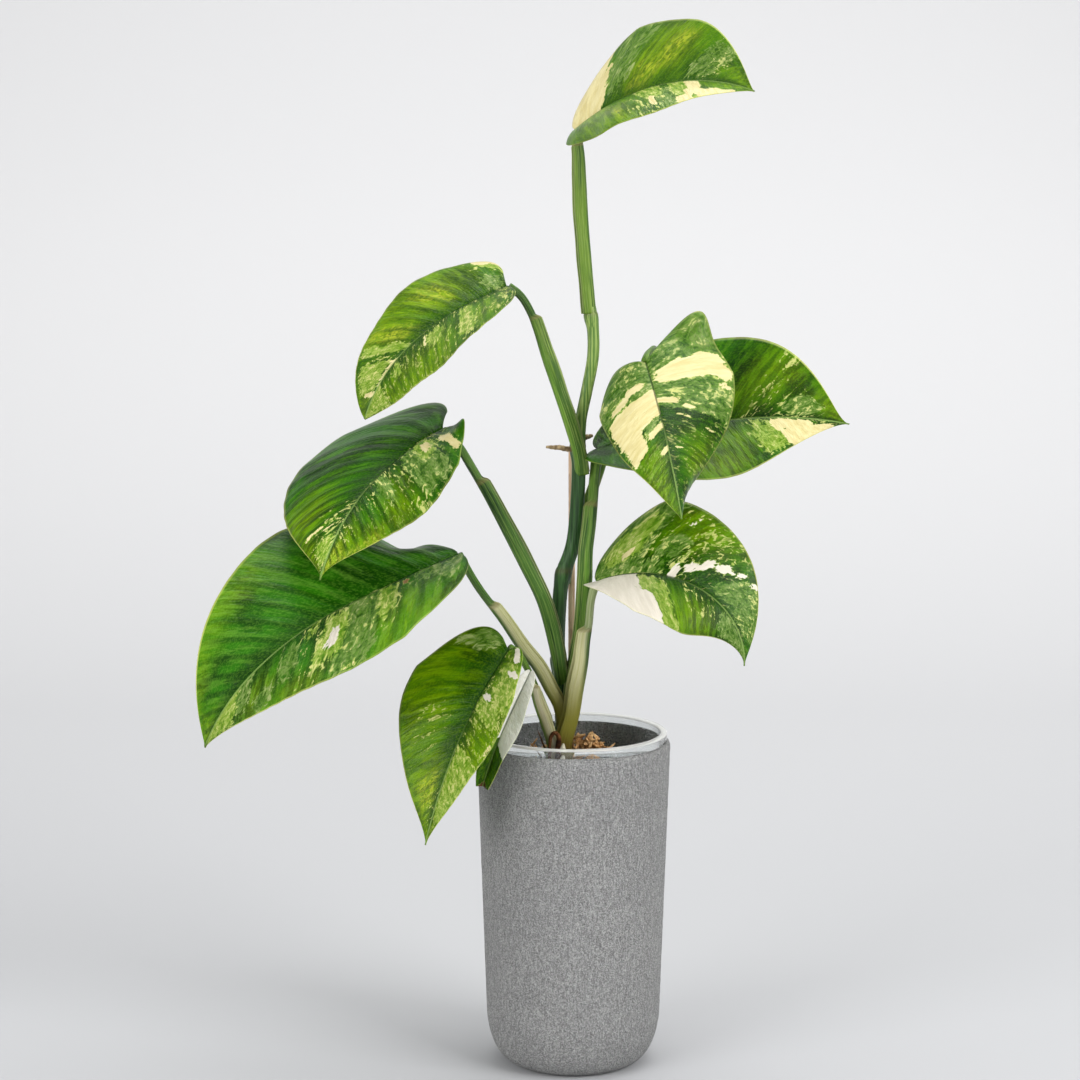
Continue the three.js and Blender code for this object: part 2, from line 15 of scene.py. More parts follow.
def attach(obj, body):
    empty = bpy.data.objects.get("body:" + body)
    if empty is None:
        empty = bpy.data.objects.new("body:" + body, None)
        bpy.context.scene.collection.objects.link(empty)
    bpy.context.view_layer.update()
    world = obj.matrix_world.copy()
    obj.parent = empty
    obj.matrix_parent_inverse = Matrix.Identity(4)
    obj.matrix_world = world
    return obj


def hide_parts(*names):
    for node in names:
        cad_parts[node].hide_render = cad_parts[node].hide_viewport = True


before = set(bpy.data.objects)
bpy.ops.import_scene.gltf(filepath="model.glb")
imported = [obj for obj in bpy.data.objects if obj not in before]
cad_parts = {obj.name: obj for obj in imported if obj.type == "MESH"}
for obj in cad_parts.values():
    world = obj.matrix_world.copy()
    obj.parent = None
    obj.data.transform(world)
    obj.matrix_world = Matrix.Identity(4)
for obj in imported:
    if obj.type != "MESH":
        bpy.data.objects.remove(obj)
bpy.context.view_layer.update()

MM = 0.001
ROOT = "root"

# Blades: fineness, thickness and relief
BLADE_ROWS = 110
HALF_COLUMNS = 30
ROW_CROWDING = 1.4
COLUMN_CROWDING = 1.25
MIDRIB_STEPS = 96
BLADE_THICK = 0.55
OUTLINE_START = 0.004
LOBE_FADE = 6
TIP_HALF_WIDTH = 0.35
LEAST_CURL = 1e-4
WAVE_HEIGHT = 1.1
WAVES = 2.6
WAVE_STARTS = (0.6, 0.25)
UNEVENNESS = 0.5
GROOVE_DEPTH = 0.45
GROOVE_WIDTH = 0.9
KEEL_DEPTH = 1.0
KEEL_WIDTH = 1.5
RIB_COUNT = 15
RIB_EDGE = (0.02, 0.22)
MARGIN_THINNING = 0.6

# Stalks, their places as shares of the length, and the height where they start in the mix
SECTION_POINTS = 40
STALK_STATIONS = 90
PATH_FINENESS = 24
TAPER = 0.25
CUT = 0.02
CHANNEL_DROP = 2.1
KNEE = (0.93, 0.97)
KNEE_SWELL = 0.08
LIP_PLACE = 0.3
LIP_WIDTH = 0.07
SUNK = 146

# The leaves. base is where the midrib starts, and yaw, pitch and roll say how it runs and
# turns along its length. Pairs are for the left and the right side: the half width, the fold
# up from the midrib and the curl outward of it (each at base and tip), the lobe that reaches
# back past the base, the lean to the tip, and the slant of the side veins. A pull draws a
# corner of the margin out: side, place along it, radius, shift. stalk is the way up to the
# blade, foot where it starts behind another stalk, adaxial where its channel faces, section
# its half width, back, wings and channel, wing_end where the wings are cut, and neck the
# radius above them. slots are those of blade and stalk, tones those of the stalk's back,
# sheath and neck, and foot_tint says how brown its foot is. A patch is (w0, w1, v0, v1) in
# hundredths: it lies between the side veins that leave the midrib at w0 and w1, from v0 to
# v1 of the way out to the margin.
LEAVES = [
    dict(
        name="top", base=(0, 0, 478), yaw=(-26, -15), pitch=(38, -58, 2), roll=(30, 37), length=108,
        outline=(0.55, 1.25), half=(44, 43), fold=((22, 35), (15, 22)), curl=((-19, 2), (-30, -18)),
        lobe=(0.25, 0.65), lean=(0.35, 0.25), slant=(0.16, 0.2), ribs=0.1, stalk=[(8.1, 2, 386.9),
        (7, 2, 398), (5.5, 2, 415), (4, 2, 433), (3, 1, 452), (2.5, 0, 466), (1, 0, 477)],
        adaxial=(-1, -0.3, 0), section=(3.2, 3, 4.2, 1.4), wing_end=0.93, neck=2.4,
        slots=("leaf_green", "stalk_green"), tones=("light", "light", "light"), green="mid",
        speckle=(0.0, 0.0),
        left=dict(cream=[(-10, 16.5, -10, 45), (-10, 14.5, 30, 75), (-10, 11.5, 60, 110)],
            grey=[(58, 72, 10, 95), (14, 25, 20, 100)], lime=[(26, 50, 5, 100), (78, 100, 20, 80)],
            gold=[(29, 41, 4, 42), (36, 46, 35, 82)], dapple=[(66, 73, 15, 65)]),
        right=dict(cream=[(38.5, 42, 50, 80), (60, 68, -10, 55), (51, 60, 72, 110), (57, 68, 50, 85),
            (62, 78, 60, 110), (72, 86, 72, 110)], grey=[(42, 54, 30, 110)], pale=[(36, 47, -10, 55),
            (52, 63, -10, 110)], lime=[(5, 30, 20, 100), (72, 100, -10, 60)], gold=[(22, 25, 55, 80)],
            dapple=[(30, 40, 50, 110), (36, 50, 0, 60)]),
    ),
    dict(
        name="upper_left", base=(-34, -5, 401), yaw=(179, 13), pitch=(-23, -17, -35), roll=(-24, -38),
        length=101, outline=(0.25, 0.9), half=(40, 40), fold=((14, 4), (10, 10)),
        curl=((-4, -19), (-11, -9)), lobe=(0.25, 0.05), lean=(0.35, 0.3), slant=(0.06, 0.15), ribs=0.22,
        stalk=[(1.5, -3, 317), (-3.5, -5, 334), (-8.5, -5, 349), (-14, -5, 365), (-18.5, -5, 379),
        (-22, -5, 388), (-27, -5, 396), (-33, -5, 400.6)], foot=(3, 1, 306), adaxial=(1, -0.1, 0),
        section=(2.9, 2.4, 4.8, 2.2), wing_end=0.8, neck=2, slots=("leaf_green", "stalk_green"),
        tones=("green", "light", "deep"), green="bright", speckle=(0.08, 0.0),
        left=dict(cream=[(45.5, 47, 10, 35), (57, 63, 93, 98)], pale=[(17, 26, 10, 90),
            (35, 45, 10, 50), (64, 70, 10, 45), (80, 110, -10, 90)], lime=[(30, 110, 35, 110),
            (8, 20, 20, 90)], dapple=[(17, 25, 10, 95), (2, 9, 10, 90), (42, 50, 5, 40),
            (80, 100, 10, 60)]),
        # On the right half, the lime is painted glow of light through the blade, and the grey patch near
        # the blade's base is a painted highlight
        right=dict(cream=[(65, 83, -10, 6), (84, 87, 5, 50), (-10, 5, 88, 110)], grey=[(1, 8, 5, 50)],
            pale=[(55, 61, 0, 95), (66, 84, 5, 80), (-10, 5, 72, 100)], lime=[(13, 55, 20, 110),
            (80, 110, 10, 110)], gold=[(20, 29, 25, 80), (44, 54, 20, 90)], dapple=[(60, 90, -10, 40),
            (0, 6, 65, 100)]),
    ),
    dict(
        name="mid_left", base=(-66, -12, 330), yaw=(206, 50), pitch=(-25, -23, 1), roll=(-17, -29),
        length=113, outline=(0.35, 1.45), half=(46, 64), fold=((19, -3), (-2, -15)),
        curl=((9, -27), (-21, -44)), lobe=(0.2, 0.7), lean=(0.4, 0.6), slant=(0.12, 0.22), ribs=0.4,
        pulls=[("left", 0.02, 7, (1, 0, 4.5))], stalk=[(-8.5, -5, 209), (-10.5, -7, 220),
        (-16.5, -7, 242), (-25.5, -8, 261), (-35, -9, 280), (-44.5, -10, 298), (-52, -10, 311),
        (-58, -11, 321), (-65, -12, 329)], foot=(-7.6, 1.5, 199), adaxial=(1, -0.2, 0),
        section=(3.1, 2.5, 5.4, 2.4), wing_end=0.78, neck=2.2, slots=("leaf_dark", "stalk_green"),
        tones=("deep", "deep", "deep"), green="dark", gloss=0.12, speckle=(0.05, 0.0),
        left=dict(cream=[(5, 8, 30, 95), (11, 15.5, 10, 34)], grey=[(12, 27, 0, 85), (36, 43, 0, 50)],
            pale=[(9, 18.5, -10, 42)], lime=[(30, 46, 30, 100), (46, 72, 60, 110), (62, 110, 10, 110)],
            gold=[(76, 110, 20, 110), (52, 78, 80, 110)], dapple=[(22, 30, 15, 98), (30, 36, 70, 98),
            (37, 44, -10, 35), (46, 50, 8, 36), (66, 72, 2, 32), (3, 8, -10, 35)]),
        right=dict(cream=[(61, 63, 35, 80), (65, 67, 10, 40)], pale=[(72, 90, 0, 60)],
            lime=[(36, 60, 40, 110), (60, 95, 55, 110)], dapple=[(64, 90, -10, 60), (54, 60, -10, 30)]),
    ),
    dict(
        name="lower_left", base=(-58, -22, 268), yaw=(206, -15), pitch=(-19, 7, -57), roll=(-24, -52),
        length=164, outline=(0.5, 1.15), half=(54, 60), fold=((17, 19), (-1, 26)),
        curl=((1, 4), (-25, 17)), lobe=(0.1, 0), lean=(0.3, 0.2), slant=(0.16, 0.2), ribs=0.3,
        pulls=[("right", 0.085, 10, (0, 0, -5))], stalk=[(-7, -1, SUNK), (-6, -1.5, 165), (-8, -4, 186),
        (-13, -6, 196.5), (-19, -8, 208), (-27, -10, 219), (-36, -13, 233), (-48, -17, 250),
        (-57.8, -22, 267.6)], adaxial=(1, -0.3, 0), section=(2.9, 2.2, 5, 2), wing_end=0.76, neck=2,
        slots=("leaf_dark", "stalk_pale"), tones=("deep", "olive", "deep"), foot_tint=1.0, green="deep",
        speckle=(0.02, 0.0),
        # On the left half, the grey patch from 74 to 84 and the pale patch from 80 to 98 are painted sheen
        left=dict(cream=[(28, 33, 88, 97)], white=[(39, 43, 22, 52)], rust=[(18, 20, 6, 15)],
            grey=[(-5, 8, 15, 62), (6, 16, -10, 30), (26, 38, -10, 100), (53, 60, 8, 60),
            (62, 70, 50, 95), (74, 84, -10, 70)], pale=[(21, 28, 0, 52), (36, 45.5, 10, 70),
            (47, 52, 0, 20), (80, 98, -10, 90)], lime=[(8, 26, 35, 110), (40, 64, 70, 110),
            (62, 75, 30, 110)], dapple=[(21, 30, 0, 50), (34, 38, 45, 75), (46, 52, -10, 25),
            (42, 50, 50, 80)]),
        # The right half's lime along its margin is painted sheen
        right=dict(lime=[(30, 95, 80, 110), (86, 100, 0, 110)]),
    ),
    dict(
        name="low_left", base=(-33, -32, 221), yaw=(215, 5), pitch=(-48, -28, 3), roll=(-11, -17),
        length=106, outline=(0.45, 1.35), half=(28, 40), fold=((17, 9), (18, 14)),
        curl=((0, -16), (0, -6)), lobe=(0.5, 0.7), lean=(0.3, 0.4), slant=(0.08, 0.16), ribs=0.16,
        stalk=[(-12, -5, SUNK), (-11.5, -4, 166), (-13.5, -6, 180), (-16.5, -10, 190), (-20, -14, 200),
        (-24, -20, 210), (-28, -26, 218), (-32, -31, 222)], adaxial=(1, 0.3, 0),
        section=(2.2, 1.9, 2.6, 1), wing_end=0.6, neck=1.7, slots=("leaf_green", "stalk_pale"),
        tones=("green", "sage", "green"), foot_tint=0.5, green="bright", speckle=(0.08, 0.0),
        left=dict(cream=[(36, 42, 88, 98)], white=[(1, 7, 62, 95), (10, 12, 50, 95),
            (22.5, 26, 12, 38)], pale=[(8, 24, 35, 110), (25, 33, 5, 85), (50, 85, 2, 110)],
            lime=[(0, 110, 15, 110)], dapple=[(8, 32, 30, 100), (48, 56, 10, 50)]),
        # On the right half, the grey patch near the blade's base is painted sheen
        right=dict(grey=[(-10, 6, 40, 90)], lime=[(20, 50, 30, 95), (50, 100, 15, 100),
            (5, 30, 60, 110)], gold=[(60, 78, 15, 70)], dapple=[(30, 44, 40, 60), (74, 86, -10, 35)]),
    ),
    dict(
        name="small", base=(-22, -22, 208), yaw=(224, -5), pitch=(-54, -3, -17), roll=(-28, -23),
        length=73, outline=(0.5, 0.85), end=0.86, half=(11, 8), fold=((29, 32), (31, 31)),
        curl=((-12, -6), (-9, -9)), lobe=(0.65, 0.75), lean=(0.3, 0.35), slant=(0.1, 0.1), ribs=0.05,
        stalk=[(-10, -13, SUNK), (-11, -12.5, 165), (-13.5, -13, 175), (-16, -15, 183),
        (-18.5, -17, 190.5), (-20.5, -19, 198), (-22, -21, 206)], adaxial=(1, -0.5, 0),
        section=(2.4, 1.8, 4.4, 1.6), wing_end=0.9, neck=1.6, slots=("leaf_cream", "stalk_pale"),
        tones=("green", "cream", "cream"), foot_tint=0.2, green="bright", speckle=(0.0, 0.0),
        whites=((242, 238, 228), (252, 250, 244)), rusts=((66, 40, 28), (112, 72, 46)),
        left=dict(white=[(-10, 55, -10, 110)], rust=[(82, 110, -10, 110)]),
        right=dict(white=[(-10, 50, -10, 110)], rust=[(82, 110, -10, 110)]),
    ),
    dict(
        name="front_right", base=(35, -24, 364), yaw=(-77, 13), pitch=(-38, -35, 1), roll=(9, -8),
        length=89, outline=(0.3, 1.05), half=(45, 31), fold=((8, -15), (-12, 4)),
        curl=((-12, -59), (-57, -22)), lobe=(1.15, 0.65), lean=(0.05, 0.35), slant=(0.08, 0.16),
        ribs=0.12, pulls=[("left", 0.05, 9, (3.5, 0, 8.5))], stalk=[(-2.5, 7, 257), (0, 9, 266),
        (4, 11, 280), (9, 13, 292), (13, 16, 303), (18, 22, 318), (24, 30, 333), (31, 36, 346),
        (37, 33, 357), (40, 23, 364), (40.5, 9, 368), (39, -6, 368.5), (36.5, -16, 367),
        (35, -23, 364.5)], foot=(-4, 5, 249), adaxial=(-1, 0, 0.2), section=(2.6, 2.4, 4.2, 1.6),
        wing_end=0.3, neck=2, slots=("leaf_cream", "stalk_green"), tones=("green", "green", "green"),
        green="dark", speckle=(0.07, 0.05),
        left=dict(cream=[(10, 18, 8, 97), (27, 30.5, -10, 30), (30, 32.5, 28, 50), (38, 40, 60, 80),
            (36, 37.5, 20, 42), (56, 57.5, 10, 30), (19, 21, 72, 92)], grey=[(-10, 33, -10, 110)],
            lime=[(45, 70, 40, 90)], dapple=[(22, 30, 20, 80)]),
        right=dict(cream=[(21, 38, -10, 95), (36, 50, 42, 92), (43, 47, -10, 38), (14, 18, 15, 50),
            (17, 20, 40, 80), (57, 60, -10, 25)], grey=[(-10, 24, -10, 110), (37, 43, 5, 40)],
            lime=[(50, 80, 15, 95), (60, 95, 20, 110)], dapple=[(0, 20, 40, 100)]),
    ),
    dict(
        name="back_right", base=(12, 6, 318), yaw=(-2, -5), pitch=(17, -10, -18), roll=(28, 70),
        length=129, outline=(0.75, 1.45), half=(50, 45), fold=((-1, 24), (17, 6)),
        curl=((0, 0), (5, -14)), lobe=(0.75, 1.65), lean=(0.8, 0), slant=(0.08, 0.14), ribs=0.15,
        stalk=[(-3.5, 1, 178), (-1, -1, 189), (1.4, -2, 205), (4, -4, 221), (5.6, -5, 236),
        (6.7, -5, 252), (7, -4, 267), (8.5, -2, 280), (9.5, 0, 292), (10.5, 3, 304), (12, 5.6, 316)],
        foot=(-5, 2, 170), adaxial=(-1, -0.3, 0), section=(3, 2.6, 5, 2), wing_end=0.82, neck=2.7,
        slots=("leaf_dark", "stalk_green"), tones=("deep", "green", "green"), green="dark",
        speckle=(0.03, 0.0),
        left=dict(grey=[(70, 84, 10, 60)], lime=[(50, 66, 20, 100), (48, 60, -10, 50),
            (75, 100, 30, 110)], dapple=[(57, 62, 5, 95), (70, 82, 5, 50)]),
        right=dict(cream=[(67, 84, 5, 40), (69, 92, 35, 110)], pale=[(58, 70, 8, 86)],
            lime=[(40, 58, 10, 60), (20, 50, 50, 100)], dapple=[(80, 95, -10, 50)]),
    ),
    dict(
        name="lower_right", base=(11, -16, 253), yaw=(-18, 15), pitch=(22, -73, -42), roll=(26, 60),
        length=102, outline=(0.6, 1.55), half=(47, 40), fold=((12, 9), (23, -4)),
        curl=((-3, -9), (17, -32)), lobe=(0.2, 0.65), lean=(0.25, 0.25), slant=(0.16, 0.16), ribs=0.16,
        stalk=[(-4.5, -8, SUNK), (-3.5, -8, 167), (0.5, -9, 184), (2.5, -10, 197), (5, -12, 212),
        (6, -13, 221), (7.5, -15, 232), (8.5, -16, 243), (10.5, -16, 251.5)], adaxial=(-1, -0.5, 0),
        section=(3.4, 2.2, 6.6, 2.6), wing_end=0.78, neck=2, slots=("leaf_green", "stalk_pale"),
        tones=("deep", "olive", "sage"), foot_tint=1.0, green="dark", speckle=(0.06, 0.0),
        left=dict(cream=[(10, 15, 32, 46), (44, 47, 68, 76)], white=[(36, 40, -10, 16), (39, 43, 8, 32),
            (42, 46, 22, 48), (46.5, 50.5, 38, 64), (50.5, 53.5, 58, 84), (54.5, 57, 80, 110),
            (25, 27, 73, 84)], grey=[(0, 20, -10, 110), (10, 33, -10, 22), (24, 34, 20, 55),
            (55, 84, 12, 100)], pale=[(4, 18, 28, 85)], lime=[(20, 42, 40, 110)],
            dapple=[(20, 42, 20, 90), (60, 70, 55, 100), (73, 80, 20, 75)]),
        right=dict(white=[(-10, 21.5, -10, 50), (-10, 26.5, 40, 110)], grey=[(66, 95, 10, 90)],
            pale=[(20, 34, 10, 110)], lime=[(30, 60, 30, 110)], dapple=[(46, 60, 15, 42)]),
    ),
]
# How soft the edges of each kind are across the veins and along them, and the mottled halo
SOFT_EDGES = dict(
    cream=(0.014, 0.13), white=(0.014, 0.13), rust=(0.012, 0.05), grey=(0.035, 0.2),
    pale=(0.035, 0.2), lime=(0.09, 0.3), gold=(0.03, 0.15), dapple=(0.05, 0.25),
)
HALO_EDGES = (0.05, 0.3)
HALO_SHARE = 0.5
# Waviness of the patches' edges across the veins and along them
EDGE_WAVES = (0.012, 0.06)
# What turns a patch's soft field into a value whose middle is the ragged edge
EDGE_GAIN = 1.5
EDGE_SHIFT = 0.22

# Noises laid along the veins: fineness along and across the blade, detail, roughness, twist
VEIN_NOISES = (
    (48, 2.6, 4, 0.6, 0.0), (130, 8, 2, 0.5, 0.0), (7, 2, 3, 0.5, 0.0), (15, 3.5, 2, 0.5, 0.0),
    (46, 9, 3, 0.6, 1.2), (130, 55, 2, 0.6, 0.0),
)

# Tones of the leaves, from the darkest to the lightest
GREENS = dict(
    dark=((8, 42, 0), (38, 94, 0), (86, 144, 6)), deep=((12, 54, 0), (44, 112, 6), (104, 156, 48)),
    mid=((30, 72, 0), (68, 118, 2), (116, 156, 14)), bright=((16, 58, 0), (58, 110, 0), (118, 158, 2)),
)
# Grey and pale marbling is mostly the leaves' own variegation; the patches marked in the table are painted
# sheen and a painted highlight
MARBLES = dict(
    grey=((44, 82, 12), (86, 120, 42), (114, 140, 68), (160, 174, 108)),
    pale=((86, 130, 16), (128, 158, 50), (160, 182, 80), (206, 206, 130)),
)
PATCH_TONES = dict(
    cream=((206, 192, 132), (224, 213, 160)), white=((214, 206, 190), (228, 220, 206)),
    rust=((104, 80, 40), (158, 120, 74)),
)
# Lime: partly the leaves' own yellow-green, partly painted glow of light through the blade and painted
# sheen, as marked in the table
LIME = (136, 170, 0)
GOLD = (186, 196, 52)
FLECK_TONES = ((142, 172, 62), (212, 211, 130))
MARGIN_TONE = (202, 206, 112)
MIDRIB_TONE = (140, 172, 88)
UNDERSIDE_TONE = (150, 176, 112)
LEAF_SHEEN = (0.92, 1.0, 0.75, 1.0)
LEAF_GLOSS = 0.22

# Tones of the stalks, from the darkest to the lightest, and of their details
STALK_TONES = dict(
    deep=((36, 72, 18), (76, 116, 40), (134, 166, 76)),
    green=((54, 96, 22), (98, 140, 44), (158, 184, 88)),
    light=((62, 98, 24), (102, 134, 40), (152, 174, 86)),
    sage=((146, 164, 104), (172, 184, 134), (200, 206, 162)),
    cream=((212, 206, 160), (228, 222, 188), (240, 236, 214)),
    olive=((209, 207, 146), (220, 216, 164), (232, 229, 192)),
)
LIP_TONE = (206, 212, 146)
CUT_TONE = (150, 134, 86)
# From and up to which reach a stalk's foot fades to olive and then to brown
FOOT_FADES = ((34, 74, (134, 130, 52)), (16, 34, (76, 52, 14)))


# Materials

def tone(red, green, blue):
    """The linear colour of three display values"""
    shares = [value / 255 for value in (red, green, blue)]
    linear = [s / 12.92 if s <= 0.04045 else ((s + 0.055) / 1.055) ** 2.4 for s in shares]
    return (*linear, 1.0)


class Field:
    """A value or colour in a material; arithmetic on it adds nodes"""

    def __init__(self, shader, socket):
        self.shader = shader
        self.socket = socket

    def __add__(self, other):
        return self.shader.calc("ADD", self, other)

    def __sub__(self, other):
        return self.shader.calc("SUBTRACT", self, other)

    def __rsub__(self, other):
        return self.shader.calc("SUBTRACT", other, self)

    def __mul__(self, other):
        return self.shader.calc("MULTIPLY", self, other)

    def step(self, low, high, start=0.0, end=1.0):
        """Start where the value is at or below low, end at or above high, smooth between"""
        entries = dict(enumerate((self, low, high, start, end)))
        return self.shader.node("ShaderNodeMapRange", entries, interpolation_type="SMOOTHSTEP")


class Shader:
    """A material with one Principled shader, whose base colour is painted in layers"""

    def __init__(self, name, roughness=0.5, specular=0.5):
        self.material = bpy.data.materials.new(name)
        self.material.use_nodes = True
        self.tree = self.material.node_tree
        self.tree.nodes.clear()
        self.surface = self.tree.nodes.new("ShaderNodeBsdfPrincipled")
        output = self.tree.nodes.new("ShaderNodeOutputMaterial")
        self.tree.links.new(self.surface.outputs["BSDF"], output.inputs["Surface"])
        self.set("Roughness", roughness)
        self.set("Specular IOR Level", specular)
        self.colour = None

    def join(self, value, socket):
        """Give a socket a field, a colour of three display values, or a plain value"""
        if isinstance(value, Field):
            self.tree.links.new(value.socket, socket)
        elif isinstance(value, tuple) and len(value) == 3:
            socket.default_value = tone(*value)
        else:
            socket.default_value = value

    def set(self, name, value):
        self.join(value, self.surface.inputs[name])

    def node(self, kind, entries=None, output=0, **settings):
        """Add a node with its settings and input entries, and return one output"""
        node = self.tree.nodes.new(kind)
        for key, value in settings.items():
            setattr(node, key, value)
        for key, value in (entries or {}).items():
            self.join(value, node.inputs[key])
        return Field(self, node.outputs[output])

    def split(self, vector):
        node = self.tree.nodes.new("ShaderNodeSeparateXYZ")
        self.join(vector, node.inputs[0])
        return [Field(self, socket) for socket in node.outputs]

    def attribute(self, name):
        return self.split(self.node("ShaderNodeAttribute", output="Vector", attribute_name=name))

    def position(self):
        return self.node("ShaderNodeTexCoord", output="Object")

    def vector(self, *entries):
        return self.node("ShaderNodeCombineXYZ", dict(enumerate(entries)))

    def calc(self, operation, a, b=0.0):
        return self.node("ShaderNodeMath", {0: a, 1: b}, operation=operation)

    def blend(self, share, first, second):
        return self.node("ShaderNodeMix", {0: share, 6: first, 7: second}, output=2, data_type="RGBA")

    def noise(self, vector, scale=1.0, detail=3.0, rough=0.5, twist=0.0):
        """Noise spread over about 0 to 1"""
        entries = {"Vector": vector, "Scale": scale, "Detail": detail, "Roughness": rough,
                   "Distortion": twist}
        return self.node("ShaderNodeTexNoise", entries).step(0.3, 0.7)

    def upright_noise(self, across, along, detail, rough=0.5):
        """Noise stretched upright, with its fineness across and along for each metre"""
        x, y, z = self.split(self.position())
        return self.noise(self.vector(x * across, y * across, z * along), detail=detail, rough=rough)

    def paint(self, share, colour):
        """Lay a colour over what is painted so far"""
        self.colour = self.blend(share, self.colour, colour)

    def finish(self, relief, depth):
        """Set the painted colour and the bump, its depth in metres"""
        self.set("Base Color", self.colour)
        self.set("Normal", self.node("ShaderNodeBump", {"Height": relief, "Distance": depth}))
        return self.material


# Meshes

def add_object(name, data):
    holder = bpy.data.objects.new(name, data)
    bpy.context.scene.collection.objects.link(holder)
    return holder


def make_piece(name, points, faces, material, attributes=None):
    """A smooth mesh object from points in millimetres, with vector attributes"""
    mesh = bpy.data.meshes.new(name)
    mesh.from_pydata((np.asarray(points, float) * MM).tolist(), [], faces)
    mesh.update()
    for key, values in (attributes or {}).items():
        layer = mesh.attributes.new(key, "FLOAT_VECTOR", "POINT")
        layer.data.foreach_set("vector", np.asarray(values, np.float32).ravel())
    mesh.polygons.foreach_set("use_smooth", [True] * len(mesh.polygons))
    mesh.materials.append(material)
    return add_object(name, mesh)


def place_piece(piece, slot, *nodes):
    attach(piece, ROOT)
    if nodes:
        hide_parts(*nodes)


def rows_of(*fields):
    """Fields over the same points, side by side, one row for each point"""
    return np.stack(fields, -1).reshape(-1, len(fields))


def smooth_step(value, low, high):
    share = np.clip((value - low) / (high - low), 0, 1)
    return share * share * (3 - 2 * share)


def wobble(x, y, z):
    """Smooth noise of about -1 to 1 at each place of three arrays"""
    flat = [noise.noise(Vector(place)) for place in zip(np.ravel(x), np.ravel(y), np.ravel(z))]
    return np.reshape(flat, np.shape(x))


def whole_turn(sides):
    return np.linspace(0, 2 * math.pi, sides, endpoint=False)


def ring(angle, radius):
    return np.stack([radius * np.sin(angle), radius * np.cos(angle)], -1)


def grid_faces(rows, columns, closed=False, offset=0, flip=False):
    faces = []
    for row in range(rows - 1):
        for column in range(columns if closed else columns - 1):
            a = offset + row * columns + column
            b = offset + row * columns + (column + 1) % columns
            face = (a, b, b + columns, a + columns)
            faces.append(face[::-1] if flip else face)
    return faces


# Leaf blades

def midrib_frames(leaf, u):
    """Position, heading, right and up of the midrib at each share u of its length"""
    grid = np.linspace(0, 1, MIDRIB_STEPS + 1)
    yaw = np.radians(leaf["yaw"][0] + leaf["yaw"][1] * grid)
    pitch = np.radians(leaf["pitch"][0] + leaf["pitch"][1] * grid + leaf["pitch"][2] * grid ** 2)
    roll = np.radians(leaf["roll"][0] + (leaf["roll"][1] - leaf["roll"][0]) * grid)[:, None]
    along = np.stack([np.cos(pitch) * np.cos(yaw), np.cos(pitch) * np.sin(yaw), np.sin(pitch)], -1)
    level = np.stack([np.sin(yaw), -np.cos(yaw), 0 * yaw], -1)
    right = level * np.cos(roll) + np.cross(along, level) * np.sin(roll)
    up = np.cross(right, along)
    steps = (along[1:] + along[:-1]) * leaf["length"] / MIDRIB_STEPS / 2
    position = np.array(leaf["base"]) + np.vstack([np.zeros((1, 3)), np.cumsum(steps, 0)])
    return [np.stack([np.interp(u, grid, line[:, k]) for k in range(3)], -1)
            for line in (position, along, right, up)]


def outline_share(outline, u):
    s = (u + OUTLINE_START) / (1 + OUTLINE_START)
    peak = outline[0] / (outline[0] + outline[1])
    return (s / peak) ** outline[0] * np.minimum((1 - s) / (1 - peak), 1) ** outline[1]


def blade_surface(leaf, u, v):
    """The blade's middle surface; v is below 0 on the left side and above 0 on the right"""
    position, along, right, up = midrib_frames(leaf, u)
    away = np.abs(v)

    def pick(pair):
        return np.where(v < 0, *pair)

    def bend(key):
        start, end = (pick(pair) for pair in zip(*leaf[key]))
        return np.radians(start + (end - start) * u)

    share = outline_share(leaf["outline"], u)
    half = np.maximum(pick(leaf["half"]) * share, TIP_HALF_WIDTH)
    fold, curl = bend("fold"), bend("curl")
    curl = np.where(np.abs(curl) < LEAST_CURL, LEAST_CURL, curl)
    across = (np.sin(fold + curl * away) - np.sin(fold)) / curl
    lift = -(np.cos(fold + curl * away) - np.cos(fold)) / curl
    wave = WAVE_HEIGHT * share * away ** 2 * np.sin(2 * np.pi * (WAVES * u + pick(WAVE_STARTS)))
    lean = pick(leaf["lean"]) * u ** 0.8 - pick(leaf["lobe"]) * (1 - u) ** LOBE_FADE
    points = (position + right * (np.sign(v) * across * half)[..., None]
              + up * (lift * half + wave)[..., None] + along * (lean * half * away)[..., None])
    return points, half


def pull_corners(leaf, points, v):
    """Draw corners of the margin out"""
    for side, place, radius, shift in leaf.get("pulls", ()):
        sign = -1.0 if side == "left" else 1.0
        centre, _ = blade_surface(leaf, np.array([place]), np.array([sign]))
        distance = np.linalg.norm(points - centre[0], axis=-1)
        weight = np.exp(-(distance / radius) ** 2) * smooth_step(v * sign, 0.05, 0.5)
        points = points + weight[..., None] * np.array(shift)
    return points


def vein_place(leaf, u, v):
    """Where on the midrib the side vein through each place starts"""
    return u - 4 * np.where(v < 0, *leaf["slant"]) * np.abs(v) * u * (1 - u)


